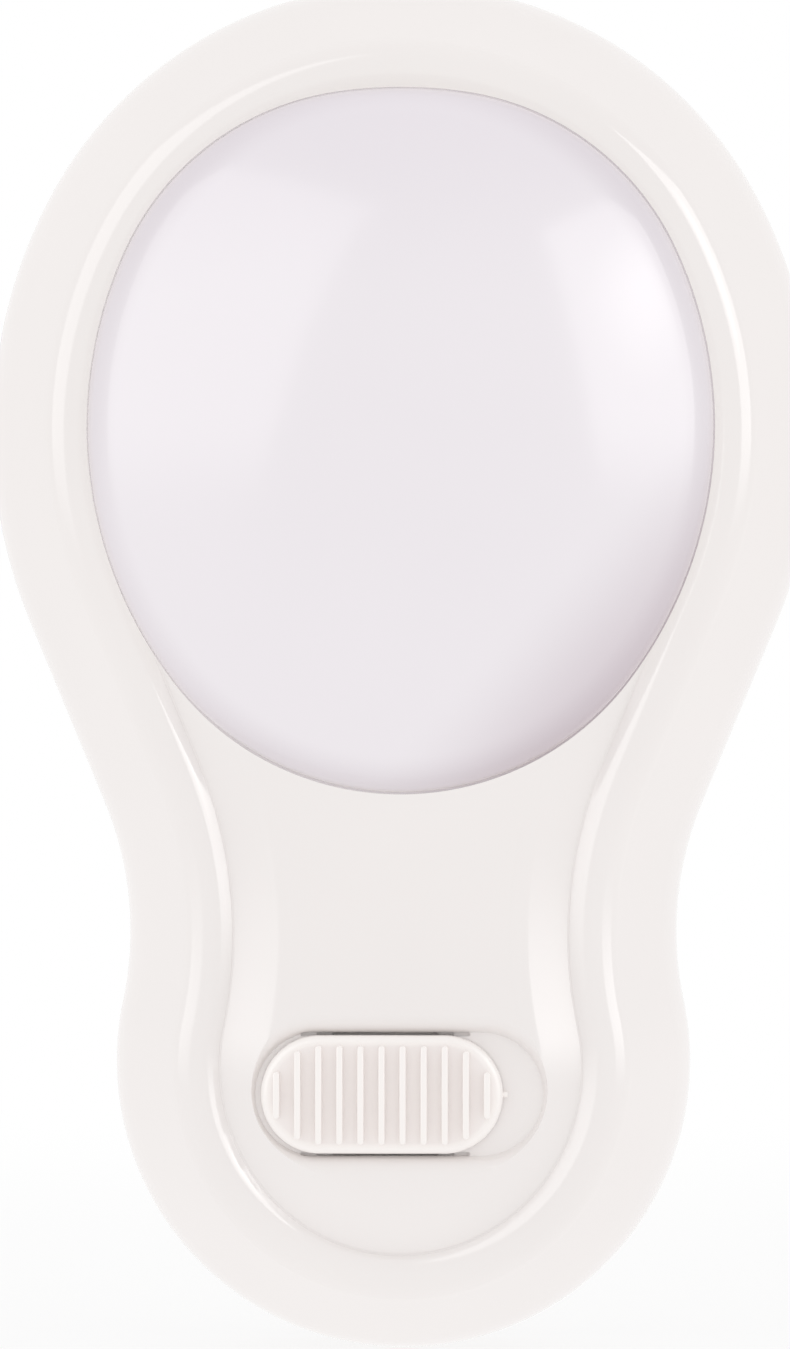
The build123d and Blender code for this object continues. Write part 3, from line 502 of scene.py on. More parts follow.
def follow(piece, legs, finest):
    """Sweeps the selected chain along half an outline, then mirrors it and closes the seam."""
    for centre, amount in legs:
        if centre is None:
            steps = ceil(amount.length / FLANK_STEP)
            for _ in range(steps):
                push(amount.x / steps, 0, amount.y / steps)
        else:
            bpy.ops.mesh.spin(
                steps=ceil(abs(amount) / finest),
                angle=-amount,
                center=(centre[0], 0, centre[1]),
                axis=(0, 1, 0),
            )
    use_modifier(piece, "MIRROR", merge_threshold=CLOSE)
    mend(piece)


def outline_ring(name, corners, casing):
    """Ring round the casing whose cross-section runs through corners of (inset, front, radius)."""
    chain = rounded(corners, CORNER_STEP)
    top = casing.top_height + casing.top_radius
    piece = dot(name, 0, chain[0].y, top - chain[0].x)
    for here, after in zip(chain, chain[1:]):
        push(0, here.y - after.y, here.x - after.x)
    bpy.ops.mesh.select_all(action="SELECT")
    follow(piece, casing_legs(casing), OUTLINE_STEP)
    return piece


def level(edge, axis, value):
    """Whether both ends of an edge lie at a value along an axis."""
    return all(abs(v.co[axis] - value) < CLOSE for v in edge.verts)


def close_ring(piece, fronts):
    """Fills the open loops that lie at these depths."""
    edit(piece)
    for front in fronts:
        pick(piece, "EDGE", lambda e: e.is_boundary and level(e, 1, -front))
        bpy.ops.mesh.edge_face_add()
    mend(piece)


def egg_block(name, lens, back, front):
    """Block with the lens's outline between two depths."""
    piece = dot(name, 0, back, lens.top_height + lens.top_radius)
    follow(piece, lens_legs(lens), EGG_STEP)
    edit(piece)
    bpy.ops.mesh.edge_face_add()
    push(0, back - front, 0)
    mend(piece)
    return piece


def draw_rings(rings, middle):
    """Extrudes what is selected through rings of (radius, front) about an axis from front to back."""
    for (before, back), (after, front) in zip(rings, rings[1:]):
        push(0, back - front, 0)
        grow(after / before, middle)


def turned(name, count, rings, across, up, fill="NGON"):
    """Starts a piece as a disc drawn through rings of (radius, front), and leaves it open."""
    piece = disc(name, count, rings[0][0], across, rings[0][1], up, fill)
    draw_rings(rings, (across, up))
    return piece


def pull_apart(piece, axis, middle, distance):
    """Moves the two halves of the open piece away from their middle along an axis."""
    for way in (-1, 1):
        step = Vector((0, 0, 0))
        step[axis] = way * distance
        pick(piece, "VERT", lambda v: (v.co[axis] - middle) * way > CLOSE)
        bpy.ops.transform.translate(value=step)


def stadium(name, rings, spread, across, up):
    """Turned block of (radius, front) rings, its two halves then pulled apart to give it straight sides."""
    piece = turned(name, STADIUM_SIDES, rings, across, up)
    pull_apart(piece, 0, across, spread / 2)
    mend(piece)
    return piece


def quarter(steps):
    """Sine and cosine at even steps of a quarter turn, its start left out."""
    return [(sin(pi / 2 * k / steps), cos(pi / 2 * k / steps)) for k in range(1, steps + 1)]


def rods(name, places, radius, back, front):
    """Round rods at several places between two depths, as one object."""
    made = []
    for across, up in places:
        rod = disc(name, ROD_SIDES, radius, across, back, up)
        push(0, back - front, 0)
        mend(rod)
        made.append(rod)
    join(made[0], made[1:])
    return made[0]


def stud(piece, name, places, radius, back, front):
    """Adds round rods to a piece."""
    combine(piece, rods(name, places, radius, back, front), "UNION")


def drill(piece, name, places, radius, back, front):
    """Cuts round holes into a piece."""
    combine(piece, rods(name, places, radius, back, front), "DIFFERENCE")


def screw_places(casing):
    """Places of the four case screws, the top one first."""
    spread, height = casing.screw_spread, casing.screw_height
    high, low = screw_high.z - CASE_SCREW_HEAD, screw_low.z + CASE_SCREW_HEAD
    return [(0, high), (-spread, height), (spread, height), (0, low)]


def new_material(name):
    """A node material, its node tree and its shader."""
    material = bpy.data.materials.new(name)
    material.use_nodes = True
    return material, material.node_tree, material.node_tree.nodes["Principled BSDF"]


def feed(tree, node, inputs):
    """Gives a node's inputs their values, or links them to other nodes' outputs."""
    for key, value in inputs.items():
        if isinstance(value, bpy.types.NodeSocket):
            tree.links.new(value, node.inputs[key])
        else:
            node.inputs[key].default_value = value


def add(tree, kind, inputs, **settings):
    """Adds a node with its settings and inputs."""
    node = tree.nodes.new("ShaderNode" + kind)
    for key, value in settings.items():
        setattr(node, key, value)
    feed(tree, node, inputs)
    return node


def spot(tree):
    """Object coordinates."""
    return add(tree, "TexCoord", {}).outputs["Object"]


def grain(tree, scale, detail, stretch=(1, 1, 1)):
    """Noise on Object coordinates, per metre, stretched along the axes."""
    mapping = add(tree, "Mapping", {"Vector": spot(tree), "Scale": stretch})
    noise = add(tree, "TexNoise", {"Vector": mapping.outputs["Vector"], "Scale": scale, "Detail": detail})
    return noise.outputs["Fac"]


def tint(tree, shader, factor, low, high):
    """Base colour that runs from one colour to another."""
    ramp = add(tree, "ValToRGB", {"Fac": factor})
    for stop, position, shown in zip(ramp.color_ramp.elements, (0.3, 0.7), (low, high)):
        stop.position = position
        stop.color = (*shown, 1)
    feed(tree, shader, {"Base Color": ramp.outputs["Color"]})


def vary(tree, socket, factor, low, high):
    """Value of a socket that runs from low to high."""
    spread = add(tree, "MapRange", {"Value": factor, "To Min": low, "To Max": high})
    tree.links.new(spread.outputs["Result"], socket)


def relief(tree, shader, factor, strength, distance):
    """Bump of a given height."""
    bump = add(tree, "Bump", {"Height": factor, "Strength": strength, "Distance": distance})
    feed(tree, shader, {"Normal": bump.outputs["Normal"]})


def shade(base, share):
    """A colour made darker or lighter."""
    return tuple(min(1.0, c * share) for c in base)


def moulded(name, base, rough, peel, drift=0.985, index=1.54):
    """Moulded plastic: colour that drifts faintly, gloss that varies and a slight orange peel."""
    material, tree, shader = new_material(name)
    tint(tree, shader, grain(tree, 60, 2), shade(base, drift), base)
    vary(tree, shader.inputs["Roughness"], grain(tree, 900, 3), rough * 0.85, rough * 1.15)
    relief(tree, shader, grain(tree, 1400, 2), peel, 0.02 * MM)
    shader.inputs["IOR"].default_value = index
    return material


def darken(material, factor, low):
    """Multiplies a material's base colour by a colour where a factor is 1."""
    tree = material.node_tree
    socket = tree.nodes["Principled BSDF"].inputs["Base Color"]
    mix = add(tree, "Mix", {"Factor": factor}, data_type="RGBA", blend_type="MULTIPLY")
    before, multiplier = [s for s in mix.inputs if s.type == "RGBA"]
    multiplier.default_value = (*low, 1)
    tree.links.new(socket.links[0].from_socket, before)
    tree.links.new([s for s in mix.outputs if s.type == "RGBA"][0], socket)


def ease(tree, value, start, stop):
    """Factor that rises smoothly from 0 to 1 between two values."""
    inputs = {"Value": value, "From Min": start, "From Max": stop}
    return add(tree, "MapRange", inputs, interpolation_type="SMOOTHSTEP").outputs["Result"]


def distance(tree, point):
    """Length of a vector."""
    return add(tree, "VectorMath", {0: point}, operation="LENGTH").outputs["Value"]


def reach(tree, middle, stretch, start, stop):
    """Factor that rises with the distance from a point, on Object coordinates stretched along the axes."""
    inputs = {"Vector": spot(tree), "Location": middle, "Scale": stretch}
    mapping = add(tree, "Mapping", inputs, vector_type="TEXTURE")
    return ease(tree, distance(tree, mapping.outputs["Vector"]), start, stop)


def slant(tree, start, way, span):
    """Factor that rises along a direction from a starting point on Object coordinates."""
    offset = add(tree, "VectorMath", {0: spot(tree), 1: start}, operation="SUBTRACT")
    along = add(tree, "VectorMath", {0: offset.outputs["Vector"], 1: way}, operation="DOT_PRODUCT")
    return ease(tree, along.outputs["Value"], 0, span)


def plated(name, base, rough, stretch):
    """Plated metal with fine lines along one direction."""
    material, tree, shader = new_material(name)
    lines = grain(tree, 2500, 4, stretch)
    tint(tree, shader, lines, shade(base, 0.86), base)
    vary(tree, shader.inputs["Roughness"], lines, rough * 0.8, rough * 1.3)
    relief(tree, shader, lines, 0.06, 0.01 * MM)
    shader.inputs["Metallic"].default_value = 1.0
    return material


def dress(piece, material, body, nodes):
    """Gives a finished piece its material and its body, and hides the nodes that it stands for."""
    activate(piece)
    piece.data.materials.clear()
    piece.data.materials.append(material)
    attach(piece, body)
    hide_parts(*nodes)


class NIGHTLIGHT_OT_front_shell(bpy.types.Operator):
    """Models the front shell with its rim, crease, panel, lens opening and switch recess."""

    bl_idname = "nightlight.front_shell"
    bl_label = "Front shell"

    def execute(self, context):
        casing = context.scene.casing_sizes
        inside = casing.panel - PANEL_WALL
        shell = self.rim(casing, inside)
        self.fixings(shell, casing, inside)
        opening = egg_block("lens_cutter", context.scene.lens_sizes, inside - OVERRUN, casing.panel + OVERRUN)
        combine(shell, opening, "DIFFERENCE")
        self.switch_openings(shell, casing, context.scene.knob_sizes, inside)
        smooth(shell, 30)
        finish = moulded("casing_white", context.scene.finish_colours.casing, 0.09, 0.04, index=1.72)
        dress(shell, finish, "casing", ["front_housing"])
        return {"FINISHED"}

    def rim(self, casing, inside):
        """Ring over panel, crease, ridge, parting and inner wall, closed by the panel and its ceiling."""
        crease = casing.panel - casing.crease_depth
        slope = casing.parting + STRAIGHT_WALL
        groove = casing.crease_inset + GROOVE_WIDTH
        shoulder = self.shoulder(casing, groove, crease - SHOULDER_FOOT)
        corners = [
            *((inset, front, 0) for inset, front in shoulder),
            (groove, crease - GROOVE_DEPTH, 0),
            (casing.crease_inset, crease - GROOVE_DEPTH, 0),
            (casing.crease_inset, crease, CREASE_ROUNDING),
            (casing.ridge_inset, casing.panel, casing.ridge_radius),
            (0, slope, SLOPE_ROUNDING),
            (0, casing.parting + PARTING_CHAMFER, 0),
            (PARTING_CHAMFER, casing.parting, 0),
            (casing.wall, casing.parting, 0),
            (casing.wall, slope - SLOPE_THINNING, 0),
            (CEILING_INSET, inside, 0),
        ]
        shell = outline_ring("front_shell", corners, casing)
        low = casing.top_height - casing.lobe_spacing
        panel_edge = casing.crease_inset - PANEL_EDGE
        ridge_edge = casing.ridge_inset - RIDGE_EDGE
        edit(shell)
        for inset, share in ((panel_edge, casing.base_stretch), (ridge_edge, casing.ridge_stretch)):
            within = casing.base_radius - inset
            pick(shell, "VERT", lambda v: v.co.z < low and v.co.x**2 + (v.co.z - low) ** 2 < within**2)
            bpy.ops.transform.resize(value=(1, 1, share), center_override=(0, 0, low))
        close_ring(shell, (casing.panel, inside))
        return shell

    def fixings(self, shell, casing, inside):
        """Bosses for the case screws and posts for the board, with their pilot holes."""
        screws = screw_places(casing)
        board = -board_low.y
        middle = (post_low.z + post_high.z) / 2
        posts = [(post_low.x + BOARD_SCREW_HEAD, middle), (post_high.x - BOARD_SCREW_HEAD, middle)]
        start, root = casing.parting, inside + ROOT_OVERLAP
        stud(shell, "top_boss", screws[:1], TOP_BOSS_RADIUS, start, start + TOP_BOSS_LENGTH)
        stud(shell, "low_bosses", screws[1:], LOW_BOSS_RADIUS, start, root)
        stud(shell, "board_posts", posts, POST_RADIUS, board, root)
        drill(shell, "screw_pilots", screws, CASE_PILOT_RADIUS, start - OVERRUN, casing.back + CASE_PILOT_END)
        drill(shell, "post_pilots", posts, SMALL_PILOT_RADIUS, board - OVERRUN, board + POST_PILOT_DEPTH)

    def switch_openings(self, shell, casing, knob, inside):
        """Recess with its rounded lip, slot behind the knob, gaps beside it and pocket of the skirt."""
        up = (knob_low.z + knob_high.z) / 2
        bore, lip = knob.recess_height / 2, knob.lip_radius
        bed = casing.panel - knob.recess_depth
        curve = [(bore + lip * (1 - c), casing.panel - lip * (1 - s)) for s, c in quarter(14)]
        rings = [(bore, bed)] + [(r, front) for r, front in curve if front > bed + LIP_MARGIN]
        rings += [(bore + lip, casing.panel + OVERRUN)]
        spread = knob.recess_length - knob.recess_height
        combine(shell, stadium("recess_cutter", rings, spread, knob.recess_shift, up), "DIFFERENCE")
        half = knob.stem_height / 2 + SIDE_GAP
        rings = [(half, inside - OVERRUN), (half, casing.panel)]
        combine(shell, stadium("slot_cutter", rings, knob.slot_length - 2 * half, 0, up), "DIFFERENCE")
        backs = [*(bed - depth for depth in GAP_DEPTHS), inside - OVERRUN]
        for share, back in zip(GAP_SHARES, backs):
            half = knob.gap_width / 2 * (1 - GAP_TAPER + GAP_TAPER * share)
            rings = [(half, back), (half, bed + GAP_OVERRUN)]
            for way in (-1, 1):
                height = up + way * (bore - knob.gap_width / 2)
                gap = stadium("gap_cutter", rings, knob.gap_length * share - 2 * half, knob.gap_shift, height)
                combine(shell, gap, "DIFFERENCE")
        half = (knob_high.z - knob_low.z) / 2 + SIDE_GAP
        wide = knob_high.x - knob_low.x + knob.travel + 2 * SIDE_GAP
        middle = (knob_low.x + knob_high.x + knob.travel) / 2
        rings = [(half, inside - OVERRUN), (half, -knob_high.y + knob.skirt_thickness + SLIDING_GAP)]
        combine(shell, stadium("skirt_cutter", rings, wide - 2 * half, middle, up), "DIFFERENCE")

    def shoulder(self, casing, groove, foot):
        """Points of (inset, front) from the flat panel over its rounding and down the slope to the groove."""
        start, end, bend = casing.shoulder_start, casing.shoulder_end, casing.shoulder_radius
        slope = (casing.panel - foot - bend * (1 - cos(start))) / (cos(start) - cos(end))
        plateau = groove + bend * sin(start) + slope * (sin(end) - sin(start))
        points = []
        for k in range(SHOULDER_STEPS + 1):
            lean = start * k / SHOULDER_STEPS
            points.append((plateau - bend * sin(lean), casing.panel - bend * (1 - cos(lean))))
        inset, front = points[-1]
        for k in range(1, SHOULDER_STEPS + 1):
            lean = start + (end - start) * k / SHOULDER_STEPS
            outward, down = sin(lean) - sin(start), cos(start) - cos(lean)
            points.append((inset - slope * outward, front - slope * down))
        return points


class NIGHTLIGHT_OT_rear_shell(bpy.types.Operator):
    """Models the rear shell with its rounded back, plug boss, screw wells and pin holes."""

    bl_idname = "nightlight.rear_shell"
    bl_label = "Rear shell"

    def execute(self, context):
        casing = context.scene.casing_sizes
        plug = context.scene.plug_sizes
        back, parting = casing.back, casing.parting
        floor, base = back + casing.wall, back + OVERRUN
        lip = casing.wall + LIP_CLEARANCE
        corners = [
            (casing.crease_inset, back, 0),
            (0, back, BACK_ROUNDING),
            (0, parting - PARTING_CHAMFER, 0),
            (PARTING_CHAMFER, parting, 0),
            (lip, parting, 0),
            (lip, parting + LIP_HEIGHT, 0),
            (lip + LIP_THICKNESS, parting + LIP_HEIGHT, 0),
            (lip + LIP_THICKNESS, parting - LIP_TAIL, 0),
            (casing.wall, parting - LIP_ROOT, 0),
            (casing.wall, floor, 0),
            (casing.crease_inset, floor, 0),
        ]
        shell = outline_ring("rear_shell", corners, casing)
        close_ring(shell, (back, floor))
        wells = screw_places(casing)
        props = [(way * across, up) for across, up in PROP_PLACES for way in (-1, 1)]
        pins = [(-plug.pin_spacing / 2, 0), (plug.pin_spacing / 2, 0)]
        stud(shell, "screw_tubes", wells, TUBE_RADIUS, base, parting)
        stud(shell, "board_props", props, PROP_RADIUS, base, -board_high.y)
        combine(shell, self.boss(plug, 0, 0, base), "UNION")
        combine(shell, self.boss(plug, casing.wall, BOSS_FACE, floor + OVERRUN), "DIFFERENCE")
        drill(shell, "well_cutter", wells, WELL_RADIUS, back - OVERRUN, back + WELL_DEPTH)
        drill(shell, "bore_cutter", wells, BORE_RADIUS, back + BORE_START, parting + OVERRUN)
        stud(shell, "retainer_post", [(0, 0)], RETAINER_POST_RADIUS, *RETAINER_POST_DEPTHS)
        drill(shell, "retainer_pilot", [(0, 0)], SMALL_PILOT_RADIUS, *RETAINER_PILOT_DEPTHS)
        drill(shell, "pin_cutter", pins, plug.pin_radius + PIN_CLEARANCE, -OVERRUN, PIN_HOLE_DEPTH)
        smooth(shell, 30)
        dress(shell, bpy.data.materials["casing_white"], "casing", ["rear_housing"])
        return {"FINISHED"}

    def boss(self, plug, inset, back, front):
        """Flattened six-sided block with rounded corners, and a rounded face edge where there is no inset."""
        radius = plug.corner_radius
        end = plug.boss_width / 2 - radius
        shoulder = end * BOSS_FLAT_SHARE
        rise = plug.boss_height / 2 - radius
        lean = Vector((rise, end - shoulder)).normalized()
        span = lean.x * end + radius - inset
        high = plug.boss_height / 2 - inset
        tip = span / lean.x
        side = (span - lean.y * high) / lean.x
        lift = high * (1 - sqrt(3) / 2)
        piece = disc("plug_boss", 6, high, 0, back, 0)
        bpy.ops.transform.rotate(value=radians(30), orient_axis="Y", center_override=(0, 0, 0))
        for across in (-1, 1):
            pick(piece, "VERT", lambda v: v.co.x * across > 0 and abs(v.co.z) < CLOSE)
            bpy.ops.transform.translate(value=(across * (tip - high), 0, 0))
            for up in (-1, 1):
                pick(piece, "VERT", lambda v: v.co.x * across > 0 and v.co.z * up > CLOSE)
                bpy.ops.transform.translate(value=(across * (side - high / 2), 0, up * lift))
        bpy.ops.mesh.select_all(action="SELECT")
        push(0, back - front, 0)
        half = atan2(lean.x, lean.y)
        corner = radius - inset
        rounding = {"affect": "EDGES", "clamp_overlap": False}

        def long_edge(edge):
            deep = abs(edge.verts[0].co.y - edge.verts[1].co.y) > MM
            return deep and any(level(edge, 2, height) for height in (-high, high))

        pick(piece, "EDGE", lambda e: level(e, 2, 0) and level(e, 0, e.verts[0].co.x))
        bpy.ops.mesh.bevel(offset=corner * tan(half), offset_type="OFFSET", segments=10, **rounding)
        pick(piece, "EDGE", long_edge)
        bpy.ops.mesh.bevel(offset=corner, segments=8, **rounding)
        if not inset:
            pick(piece, "EDGE", lambda e: level(e, 1, -back))
            bpy.ops.mesh.bevel(offset=plug.face_radius, segments=5, **rounding)
        mend(piece)
        return piece


class NIGHTLIGHT_OT_lens(bpy.types.Operator):
    """Models the frosted lens as rings from its flange over the dome, and its hollow."""

    bl_idname = "nightlight.lens"
    bl_label = "Lens"

    def execute(self, context):
        lens = context.scene.lens_sizes
        middle = (0, lens_middle(lens))
        top = lens.top_height + lens.top_radius
        ceiling = context.scene.casing_sizes.panel - PANEL_WALL
        foot = ceiling - FLANGE_THICKNESS
        across = lens.dome_radius
        flange = across + FLANGE
        outer = [(flange, foot), (flange, ceiling), (across - lens.gap, ceiling)]
        outer += self.dome(lens, lens.gap, 0, lens.edge_radius, 30)
        hollow = [(flange, foot), (across - lens.gap - lens.wall, foot)]
        hollow += self.dome(lens, lens.gap + lens.wall, lens.wall, lens.edge_radius - lens.wall, 12)
        piece = dot("lens_dome", 0, foot, top)
        follow(piece, lens_legs(lens), EGG_STEP)
        edit(piece)
        grow(flange / across, middle)
        for rings in (outer, hollow):
            pick(piece, "EDGE", lambda e: e.is_boundary or e.is_wire)
            draw_rings(rings, middle)
            bpy.ops.mesh.merge(type="CENTER")
        mend(piece)
        smooth(piece, 40)
        finish = self.frost_and_painted_shade(context.scene.finish_colours.lens, across, middle[1], top - middle[1])
        piece.visible_diffuse = False
        piece.visible_shadow = False
        dress(piece, finish, "casing", ["diffuser_lens"])
        return {"FINISHED"}

    def frost_and_painted_shade(self, base, across, middle, high):
        """Frosted plastic with painted shade that darkens the lens at its edge, its top and its lower right.
        """
        finish = moulded("lens_frost_and_painted_shade", base, 0.13, 0.03, 0.99)
        tree = finish.node_tree
        centre = (0, 0, middle + 0.6 * MM)
        # Painted shade round the lens's edge.
        edge = reach(tree, centre, stretch=(across, FAR, high), start=0.905, stop=1.02)
        darken(finish, edge, (0.87, 0.85, 0.86))
        # Painted shade over the top of the dome.
        crown = slant(tree, start=(0, 0, 10 * MM), way=(0, 0, 1), span=17 * MM)
        darken(finish, crown, (0.955, 0.945, 0.96))
        # Painted shade over the lens's lower right.
        corner = slant(tree, start=(18.9 * MM, 0, -1.2 * MM), way=(0.745, 0, -0.668), span=11 * MM)
        darken(finish, corner, (0.77, 0.72, 0.74))
        return finish

    def dome(self, lens, inset, sink, edge, count):
        """Rings of (radius across, front) up the wall, round the edge and over the crown."""
        across = lens.dome_radius - inset
        crown = lens.crown_radius - sink
        heart = lens.apex - lens.crown_radius
        turn_radius = across - edge
        turn_front = heart + sqrt((crown - edge) ** 2 - turn_radius**2)
        lean = atan2(turn_front - heart, turn_radius)
        rings = [(across, turn_front)]
        for k in range(1, EDGE_STEPS + 1):
            swing = lean * k / EDGE_STEPS
            rings.append((turn_radius + edge * cos(swing), turn_front + edge * sin(swing)))
        for k in range(1, count):
            swing = lean + (pi / 2 - lean) * k / count
            rings.append((crown * cos(swing), heart + crown * sin(swing)))
        return rings


class NIGHTLIGHT_OT_knob(bpy.types.Operator):
    """Models the slide knob with its skirt, ribs and gate mark."""

    bl_idname = "nightlight.knob"
    bl_label = "Slide knob"

    def execute(self, context):
        knob = context.scene.knob_sizes
        across = (knob_low.x + knob_high.x) / 2
        up = (knob_low.z + knob_high.z) / 2
        face = -knob_low.y - knob.rib_rise
        skirt_back = -knob_high.y
        skirt_face = skirt_back + knob.skirt_thickness
        body, edge = knob.height / 2, knob.edge_radius
        bed = context.scene.casing_sizes.panel - knob.recess_depth + SLIDING_GAP
        rings = [(body, bed), (body, face - edge)]
        rings += [(body - edge * (1 - c), face - edge * (1 - s)) for s, c in quarter(7)]
        piece = stadium("slide_knob", rings, knob.length - knob.height, across, up)
        wide, high = knob_high.x - knob_low.x, knob_high.z - knob_low.z
        rings = [(high / 2, skirt_back), (high / 2, skirt_face)]
        skirt = stadium("knob_skirt", rings, wide - high, across, up)
        stem_half = knob.stem_height / 2
        rings = [(stem_half, skirt_face - STEM_OVERLAP), (stem_half, bed + STEM_OVERLAP)]
        stem = stadium("knob_stem", rings, knob.stem_length - knob.stem_height, across, up)
        ribs = self.ribs(knob, across, up, face)
        gate = self.gate(knob, across, up, face)
        for part in (skirt, stem, gate, *ribs):
            combine(piece, part, "UNION")
        mend(piece)
        smooth(piece, 35)
        finish = moulded("knob_white", context.scene.finish_colours.knob, 0.3, 0.06)
        # Painted shade on the knob's face between the ribs.
        darken(finish, self.bed(finish.node_tree, knob, across, up, face), (0.955, 0.945, 0.95))
        dress(piece, finish, "slider", ["switch_knob"])
        return {"FINISHED"}

    def ribs(self, knob, across, up, face):
        """Copies of one rib side by side, shorter where the knob's round ends begin."""
        rib = self.rib(knob, up, face)
        ribs = []
        half = knob.height / 2 - RIB_MARGIN
        for i in range(knob.rib_count):
            place = (i - (knob.rib_count - 1) / 2) * knob.rib_pitch
            past = max(0, abs(place) - (knob.length - knob.height) / 2)
            shorter = sqrt(half**2 - past**2) - half
            activate(rib)
            bpy.ops.object.duplicate()
            copy = bpy.context.object
            edit(copy)
            bpy.ops.transform.translate(value=(across + place, 0, 0))
            for way in (-1, 1):
                pick(copy, "VERT", lambda v: (v.co.z - up) * way > 0)
                bpy.ops.transform.translate(value=(0, 0, way * shorter))
            bpy.ops.object.mode_set(mode="OBJECT")
            ribs.append(copy)
        bpy.data.objects.remove(rib)
        return ribs

    def gate(self, knob, across, up, face):
        """Small gate mark that stands out of the knob's right end."""
        piece = disc("gate_mark", 20, GATE_RADIUS, 0, 0, 0)
        push(0, -GATE_LENGTH, 0)
        bpy.ops.mesh.select_all(action="SELECT")
        bpy.ops.transform.rotate(value=pi / 2, orient_axis="Z", center_override=(0, 0, 0))
        shape = bmesh.from_edit_mesh(piece.data)
        shift = across + knob.length / 2 + GATE_REACH - max(v.co.x for v in shape.verts)
        bpy.ops.transform.translate(value=(shift, GATE_DEPTH - face, up))
        mend(piece)
        return piece

    def bed(self, tree, knob, across, up, face):
        """Factor for painted shade: 1 on the knob's face between the ribs and 0 on its edge and on the ribs.
        """
        place = spot(tree)
        mapping = add(tree, "Mapping", {"Vector": place, "Location": (across, 0, up)}, vector_type="TEXTURE")
        past = mapping.outputs["Vector"]
        straight = ((knob.length - knob.height) / 2, 1, 0)
        for operation, more in (("ABSOLUTE", {}), ("SUBTRACT", {1: straight}), ("MAXIMUM", {1: (0, 0, 0)})):
            past = add(tree, "VectorMath", {0: past, **more}, operation=operation).outputs["Vector"]
        depth = add(tree, "SeparateXYZ", {"Vector": place}).outputs["Y"]
        rim = knob.height / 2 - knob.edge_radius
        inside = ease(tree, distance(tree, past), rim, rim - RIB_SHADE_FADE)
        low = ease(tree, depth, *(-face - rise for rise in RIB_SHADE_RISE))
        return add(tree, "Math", {0: inside, 1: low}, operation="MULTIPLY").outputs["Value"]

    def rib(self, knob, up, face):
        """One rib of full length in the middle of the knob, its top edge rounded."""
        half = knob.height / 2 - RIB_MARGIN
        width = knob.rib_width
        piece = disc("rib", 24, width / 2, 0, face - RIB_ROOT, up)
        pull_apart(piece, 2, up, half - width / 2)
        bpy.ops.mesh.select_all(action="SELECT")
        push(0, -knob.rib_rise - RIB_ROOT, 0)
        pick(piece, "EDGE", lambda e: level(e, 1, -face - knob.rib_rise))
        bpy.ops.mesh.bevel(offset=RIB_ROUNDING, segments=4, affect="EDGES")
        mend(piece)
        return piece


class NIGHTLIGHT_OT_pins(bpy.types.Operator):
    """Models the two plug pins and their insulating sleeves."""

    bl_idname = "nightlight.pins"
    bl_label = "Pins and sleeves"

    def execute(self, context):
        plug = context.scene.plug_sizes
        colours = context.scene.finish_colours
        metal = plated("pin_nickel", colours.pin, 0.22, (1, 0.05, 1))
        radius, sleeve, end = plug.pin_radius, -plug.sleeve_length, -plug.pin_length
        rings = [(PIN_CORE, PIN_TAIL), (PIN_CORE, COLLAR_BACK), (COLLAR_RADIUS, COLLAR_BACK)]
        rings += [(COLLAR_RADIUS, COLLAR_FACE), (PIN_CORE, COLLAR_FACE), (PIN_CORE, sleeve)]
        rings += [(radius - PIN_CHAMFER, sleeve), (radius, sleeve - PIN_CHAMFER), (radius, end + PIN_TIP)]
        rings += [(radius - PIN_TIP * (1 - c), end + PIN_TIP * (1 - s)) for s, c in quarter(8)]
        for way, name in ((-1, "left"), (1, "right")):
            pin = turned(f"pin_{name}", PIN_SIDES, rings, way * plug.pin_spacing / 2, 0)
            mend(pin)
            smooth(pin, 30)
            dress(pin, metal, "casing", [f"plug_pin_{name}"])
        sleeves = [self.sleeve(plug, way * plug.pin_spacing / 2) for way in (-1, 1)]
        join(sleeves[0], sleeves[1:])
        sleeves[0].name = "sleeves"
        smooth(sleeves[0], 30)
        finish = moulded("sleeve_black", colours.sleeve, 0.35, 0.1, 0.8)
        dress(sleeves[0], finish, "casing", ["pin_sleeves"])
        return {"FINISHED"}

    def sleeve(self, plug, across):
        """Thin tube round a pin with a rounded outer end."""
        radius, end = plug.sleeve_radius, -plug.sleeve_length
        rings = [(radius, SLEEVE_ROOT)]
        rings += [(radius - inset, end + back) for inset, back in SLEEVE_ROUNDING]
        rings += [(SLEEVE_BORE, end), (SLEEVE_BORE, SLEEVE_ROOT), (radius, SLEEVE_ROOT)]
        piece = turned("sleeve", PIN_SIDES, rings, across, 0, "NOTHING")
        mend(piece)
        return piece


